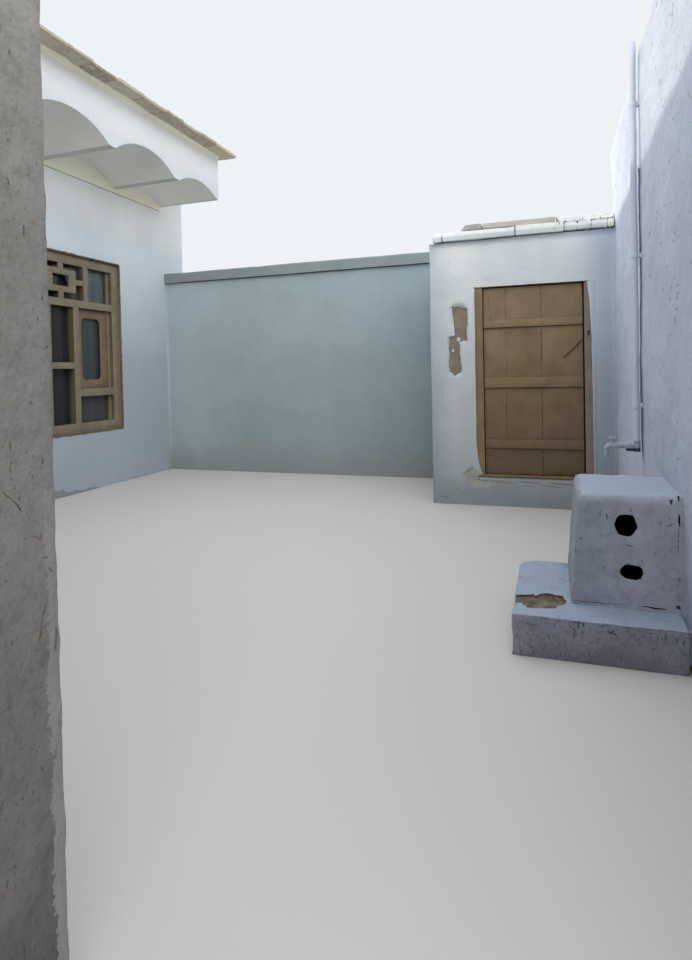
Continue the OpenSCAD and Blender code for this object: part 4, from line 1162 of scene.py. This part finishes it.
def make_door_frame():
    lo, hi = JAMBS_LO, JAMBS_HI
    left_x, right_x = lo.x + 0.080, hi.x - 0.077
    sill_z, head_z = lo.z + 0.028, hi.z - 0.036
    bm = new_mesh()
    # Left jamb, right jamb, head and sill
    members = ((lo.x, sill_z, left_x, head_z, 7, 0.07, 4, 0.1, 0),
               (right_x, sill_z, hi.x, head_z, 7, 0.07, 4, 0.3, 1),
               (lo.x, head_z, hi.x, hi.z, 4, 0.1, 2, 0.9, 0),
               (lo.x, lo.z, hi.x, sill_z, 5, 0.08, 3, 0.3, 0))
    for number, (x0, z0, x1, z1, edge, cell, depth, tone, material) in enumerate(members):
        add_block(bm, (x0, lo.y, z0), (x1, hi.y, z1), edge * MM, cell, depth * MM, 0.2, 80 + number,
                  tone=tone, material=material)
    piece("door_jambs", bm, (DOOR_JAMB, BARE_JAMB), ("store_door_frame",))


def add_lip(bm, start, end, across, out, width_at, margin):
    """A strip of plaster smeared along an opening's edge: it feathers out over the wall and laps
    over the frame by the width that width_at gives."""
    count = round((end - start).length / 0.025)
    rows = []
    for i in range(count + 1):
        p = start.lerp(end, i / count)
        w = max(1 * MM, width_at(p) + 2 * MM * noise.noise(p * 60))
        wide = margin * (1 + 0.5 * noise.noise(p * 21 + Vector((5, 0, 0))))
        profile = ((-wide, -7), (-0.55 * wide, -1), (0.25 * w, 1), (0.8 * w, -1), (w, -5), (w, -14))
        rows.append([bm.verts.new(p + across * u + out * (v * MM)) for u, v in profile])
    faces = [bm.faces.new((a[k], a[k + 1], b[k + 1], b[k]))
             for a, b in zip(rows, rows[1:]) for k in range(len(rows[0]) - 1)]
    faces += [bm.faces.new(rows[0]), bm.faces.new(rows[-1])]
    bmesh.ops.recalc_face_normals(bm, faces=faces)


def make_window_joint():
    """Mud smeared round the window, between the frame and the wall's lime."""
    lo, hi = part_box("window_frame")
    bm = new_mesh()
    corners = [Vector((YARD_X, y, z)) for y, z in ((lo.y, lo.z), (hi.y, lo.z), (hi.y, hi.z), (lo.y, hi.z))]
    for a, b, across in zip(corners, corners[1:] + corners[:1], (UP, SOUTH, DOWN, NORTH)):
        add_lip(bm, a, b, across, EAST, lambda p: 5 * MM, 0.022)
    piece("window_joint_mud", bm, (REVEAL_MUD,))


def make_surround():
    """Lime plaster lapped by hand over the frame's edge: wide at the upper right, a bead elsewhere."""
    bm = new_mesh()
    face = STORE_LO.y
    lo, hi = JAMBS_LO, JAMBS_HI
    # How wide the plaster laps at each height
    right = ((0.285, 0.006), (0.34, 0.007), (1.27, 0.010), (1.675, 0.014), (1.984, 0.028), (2.179, 0.047))
    left = ((0.285, 0.066), (0.31, 0.060), (0.40, 0.030), (0.50, 0.012), (0.658, 0.002), (2.179, 0.003))

    def width_at(table, z):
        for (z0, w0), (z1, w1) in zip(table, table[1:]):
            if z0 <= z <= z1:
                return w0 + (w1 - w0) * (z - z0) / (z1 - z0)
        return table[-1][1]

    for table, edge_x, across in ((right, hi.x, WEST), (left, lo.x, EAST)):
        add_lip(bm, Vector((edge_x, face, lo.z)), Vector((edge_x, face, hi.z - 0.036)), across, SOUTH,
                lambda p, table=table: width_at(table, p.z) + 2 * MM * noise.noise(p * 15), 0.030)
    # A mound of plaster over the sill's right end
    add_block(bm, (4.435, face + 1 * MM, 0.262), (hi.x + 0.01, face + 0.045, 0.352), 9 * MM, 0.02, 9 * MM,
              0.05, 85, shape=lambda p: p - UP * (0.035 if p.x < 4.5 and p.z > 0.3 else 0))
    paint(bm, 1, lambda spot, normal: spot.x < lo.x + 0.1 and spot.z < 0.36 + 0.05 * noise.noise(spot * 30))
    piece("door_surround_plaster", bm, (STORE_LIME, CRUMBS))


def add_link(bm, middle, along, across, length, width, wire):
    """One oval chain link: two straight sides and two round ends, swept with a round wire."""
    path = []
    end = (length - width) / 2
    for i in range(16):
        angle = 2 * math.pi * i / 16
        u = (end if math.cos(angle) > 0 else -end) + width / 2 * math.cos(angle)
        path.append(middle + along * u + across * (width / 2 * math.sin(angle)))
    one = bmesh.new()
    depth = along.cross(across)
    turns = [2 * math.pi * k / 8 for k in range(8)]
    rings = []
    for point in path:
        outwards = (point - middle).normalized()
        rings.append([one.verts.new(point + wire / 2 * (math.cos(turn) * outwards + math.sin(turn) * depth))
                      for turn in turns])
    for a, b in zip(rings, rings[1:] + rings[:1]):
        join_rings(one, a, b)
    bmesh.ops.recalc_face_normals(one, faces=one.faces)
    append(bm, one)


def make_chain():
    lo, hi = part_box("door_chain")
    start = Vector((lo.x + 6 * MM, LEAF_LO.y - 6 * MM, lo.z + 6 * MM))
    end = Vector((hi.x - 6 * MM, LEAF_LO.y - 6 * MM, hi.z - 6 * MM))
    along = (end - start).normalized()
    last = 12
    bm = bmesh.new()
    for i in range(last + 1):
        tilt = math.radians(38 if i % 2 else -38)
        across = math.cos(tilt) * along.cross(NORTH) + math.sin(tilt) * NORTH
        sag = Vector((0, 0, -0.006)) * math.sin(math.pi * i / last)
        add_link(bm, start.lerp(end, i / last) + sag, along, across, 0.026, 0.013, 4.4 * MM)
    # The nail that holds the chain's lower end
    add_pin(bm, start, (-2.5, -1.5, 6), (3, 5, 5), 12)
    piece("chain_links", bm, (RUST,), ("door_chain",), body="store_door")


def make_staple():
    lo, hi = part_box("door_staple")
    middle = (lo + hi) / 2
    plate_y = hi.y - 4 * MM
    bm = new_mesh()
    add_block(bm, (lo.x, plate_y, lo.z), hi, 1.2 * MM, 0.01, 0.6 * MM, 0.02, 5)
    loop = [Vector((middle.x + 8 * MM * math.cos(a), max(lo.y + 2.5 * MM, plate_y - 15 * MM * math.sin(a)),
                    middle.z)) for a in (math.pi * i / 12 for i in range(13))]
    foot = NORTH * (4 * MM)
    add_tube(bm, [loop[0] + foot] + loop + [loop[-1] + foot], [2.2 * MM] * 15, 10)
    # The chain's last two links hang from it
    hang = Vector((-0.66, 0, -0.75))
    for dx, dz, across in ((-0.006, -0.016, NORTH), (-0.020, -0.031, NORTH.cross(hang).normalized())):
        add_link(bm, middle + Vector((dx, -0.009, dz)), hang.normalized(), across, 0.026, 0.012, 3.2 * MM)
    piece("jamb_staple", bm, (RUST,), ("door_staple",))


# The pipe and the tap

def make_pipe():
    middle = (PIPE_LO + PIPE_HI) / 2
    radius = (PIPE_HI.x - PIPE_LO.x) / 2
    bm = new_mesh()
    count = 30
    # It isn't quite straight
    path = [Vector((middle.x, middle.y, PIPE_LO.z + (PIPE_HI.z - PIPE_LO.z) * i / count)) + Vector((
        0.0015 * math.sin(i * 0.9), 0.003 * math.sin(i * 0.45), 0)) for i in range(count + 1)]
    add_tube(bm, path, [radius - 1 * MM] * (count + 1), 28)
    piece("standpipe_iron", bm, (PIPE_LIME,), ("standpipe",))

    clips = new_mesh()
    for i in range(3):
        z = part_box("pipe_clips")[0].z + i * 1.0
        sleeve = ((0, -1), (1, 2), (4, 3), (36, 3), (39, 2), (40, -1))
        add_tube(clips, [(middle.x, middle.y, z + height * MM) for height, out in sleeve],
                 [radius + out * MM for height, out in sleeve], 28)
        add_block(clips, (middle.x + radius - 2 * MM, middle.y - 13 * MM, z + 4 * MM),
                  (EAST_X + 0.02, middle.y + 13 * MM, z + 36 * MM), 2 * MM, 0.02, 1 * MM, 0.05, i)
    piece("pipe_sockets", clips, (PIPE_LIME,), ("pipe_clips",))


def make_tap():
    middle = (PIPE_LO + PIPE_HI) / 2
    lo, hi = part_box("water_tap")
    elbow_low = PIPE_LO.z - 0.076
    arm_z = PIPE_LO.z - 0.038
    spout_x = lo.x + 0.013
    bend_r = 0.030
    bm = new_mesh()

    def turned(mesh, profile, sides):
        """Adds what stands round the pipe's axis, as (height over the elbow's foot, radius) in mm."""
        add_tube(mesh, [(middle.x, middle.y, elbow_low + height * MM) for height, r in profile],
                 [r * MM for height, r in profile], sides)

    # The elbow is a beaded casting with a thick lip at its upper mouth
    turned(bm, ((0, 14), (3, 20), (10, 22), (56, 22), (58, 22.6), (73, 22.6), (76, 20)), 28)
    bend = [(middle.x, arm_z), (spout_x + bend_r, arm_z)]
    bend += [(spout_x + bend_r - bend_r * math.sin(a), arm_z - bend_r + bend_r * math.cos(a))
             for a in (math.pi / 2 * i / 6 for i in range(1, 7))]
    bend.append((spout_x, lo.z))
    add_tube(bm, [(x, middle.y, z) for x, z in bend],
             [0.0185] * (len(bend) - 3) + [0.017, 0.0125, 0.0155])
    # The nuts on the arm
    for x, half in ((4.722, 0.013), (4.640, 0.026)):
        add_tube(bm, [(x + d * half, middle.y, arm_z) for d in (-1, -0.8, 0.8, 1)],
                 [20 * MM, 22 * MM, 22 * MM, 20 * MM], 8)
    spindle_x = spout_x + 0.039
    add_tube(bm, [(spindle_x, middle.y, z) for z in (arm_z, arm_z + 0.024, arm_z + 0.026, hi.z - 0.006)],
             [0.019, 0.018, 0.012, 0.011], 12)
    add_tube(bm, [(spindle_x + d * 0.025, middle.y, hi.z - 0.0125) for d in (-1, -0.9, -0.3, 0.3, 0.9, 1)],
             [0.008, 0.0125, 0.011, 0.011, 0.0125, 0.008], 12)
    # Painted shadow: the elbow's underside and the foot of its casting are dark
    bare = new_mesh()
    add_tube(bare, [(x, middle.y, elbow_low + z * MM)
                    for x, z in ((4.701, 17), (4.706, 13), (4.735, 12), (4.785, 12))],
             [9 * MM, 12 * MM, 12 * MM, 12 * MM], 12)
    turned(bare, ((-1, 19), (0, 22.4), (22, 23.2), (25, 21)), 28)
    piece("elbow_underside", bare, (ELBOW_SHADOW,))
    piece("tap_casting", bm, (TAP_LIME,), ("water_tap",))


# Plaster worked into the corners

def add_cove(bm, start, end, side_a, side_b, radius, seed):
    """A hollow strip of plaster along an inner corner, thumbed in unevenly."""
    start, end = Vector(start), Vector(end)
    count = max(2, round((end - start).length / 0.07))
    rows = []
    for i in range(count + 1):
        p = start.lerp(end, i / count)
        r = radius * (1 + 0.35 * noise.noise((p + Vector((seed, 0, 0))) * 3.3) + 0.2 * noise.noise(p * 11))
        row = [p - side_a * 0.02 - side_b * 0.02, p + side_a * (r + 0.012) - side_b * 0.02]
        for k in range(6):
            angle = math.pi / 2 * k / 5
            row.append(p + side_a * (r - r * math.sin(angle)) + side_b * (r - r * math.cos(angle)))
        row.append(p + side_b * (r + 0.012) - side_a * 0.02)
        rows.append([bm.verts.new(place) for place in row])
    faces = []
    for a, b in zip(rows, rows[1:]):
        faces += join_rings(bm, a, b)
    faces.append(bm.faces.new(rows[0][::-1]))
    faces.append(bm.faces.new(rows[-1]))
    bmesh.ops.recalc_face_normals(bm, faces=faces)


def make_coves():
    under_coping_z = 2.65
    for name, material, corners in (
            ("back", BACK_LIME, ((YARD_X, BACK_LO.y, BACK_HI.z, EAST, 0.022),
                                 (STORE_LO.x, BACK_LO.y, under_coping_z, WEST, 0.025))),
            ("store", STORE_LIME, ((EAST_X, STORE_LO.y, under_coping_z, WEST, 0.035),))):
        bm = new_mesh()
        for number, (x, y, top_z, side, radius) in enumerate(corners):
            add_cove(bm, (x, y, 0), (x, y, top_z), side, SOUTH, radius, number)
        piece(name + "_corner_plaster", bm, (material,))


def make_wing_line():
    """The thin scored line that the wall's last coat was brought up to, under the canopy."""
    bm = new_mesh()
    lo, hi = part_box("canopy")
    add_block(bm, (YARD_X - 9 * MM, lo.y + 0.06, LINE_Z - 5 * MM),
              (YARD_X + 1 * MM, hi.y - 0.06, LINE_Z + 5 * MM), 1 * MM, 0.2, 0, 1, 0)
    piece("scored_line", bm, (LINE_TAN,))


def dress_nodes():
    """CAD nodes whose shape is right keep it and take a finish."""
    for name, material in (("window_glass", GLASS), ("wing_floor", FLOOR_MUD), ("store_floor", FLOOR_MUD),
                           ("door_hinge_pins", RUST), ("door_hinge_eyes", RUST)):
        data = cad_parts[name].data
        data.materials.clear()
        data.materials.append(material)


def make_stage():
    bm = bmesh.new()
    bmesh.ops.create_grid(bm, x_segments=2, y_segments=2, size=400)
    pale = start("stage_floor", 0.95, Specular_IOR_Level=0.1, Base_Color=linear("#c6c4c0"))[0]
    floor = mesh_object("stage_floor", bm, (pale,))
    floor.location.z = -1 * MM

    world = bpy.data.worlds.new("studio")
    bpy.context.scene.world = world
    world.use_nodes = True
    tree = world.node_tree
    rays = add(tree, "LightPath").node.outputs
    seen = add(tree, "Math", (rays["Is Camera Ray"], rays["Is Glossy Ray"]), operation="MAXIMUM")
    seen = add(tree, "Math", (seen, rays["Is Transmission Ray"]), operation="MAXIMUM")
    lit = tree.nodes["Background"]
    lit.inputs["Color"].default_value = linear("#f2f4f7")
    lit.inputs["Strength"].default_value = OPEN_LIGHT
    shown = add(tree, "Background", {"Color": linear("#eef2f5"), "Strength": 1.0})
    both = add(tree, "MixShader", (seen, lit.outputs[0], shown))
    tree.links.new(both, tree.nodes["World Output"].inputs["Surface"])

    # A broad key from behind the camera, and a low one over the roof that reaches the east wall's top
    for name, energy, tone, spread, tilt, turn in (("soft_key", 1.05, "#ffffff", 50, 62, 33),
                                                   ("low_key", 1.7, "#fff4dc", 0.8, LOW_KEY_TILT, -72)):
        lamp = bpy.data.lights.new(name, "SUN")
        lamp.color = linear(tone)[:3]
        lamp.energy = energy
        lamp.angle = math.radians(spread)
        new_object(name, lamp).rotation_euler = (math.radians(tilt), 0, math.radians(turn))
    # A soft box over the yard makes up for the sky that its walls shut out
    lamp = bpy.data.lights.new("yard_box", "AREA")
    lamp.shape = "RECTANGLE"
    lamp.size = EAST_X - YARD_X - 1.3
    lamp.size_y = 2 * BACK_HI.y - 0.8
    lamp.energy = math.pi * lamp.size * lamp.size_y * YARD_LIGHT
    box = new_object("yard_box", lamp)
    box.location = (EAST_X - 0.05 - lamp.size / 2, 0, WING_HI.z + 0.2)
    box.visible_camera = False
    box.visible_glossy = False
    bpy.context.scene.view_settings.view_transform = "Standard"


make_camera()
make_wing()
make_canopy()
make_roof_edge()
make_joinery()
make_window_joint()
make_back_wall()
make_south_wall()
make_east_wall()
make_stand()
make_store()
make_store_coping()
make_door()
make_door_frame()
make_surround()
make_chain()
make_staple()
make_pipe()
make_tap()
make_coves()
make_wing_line()
dress_nodes()
make_stage()
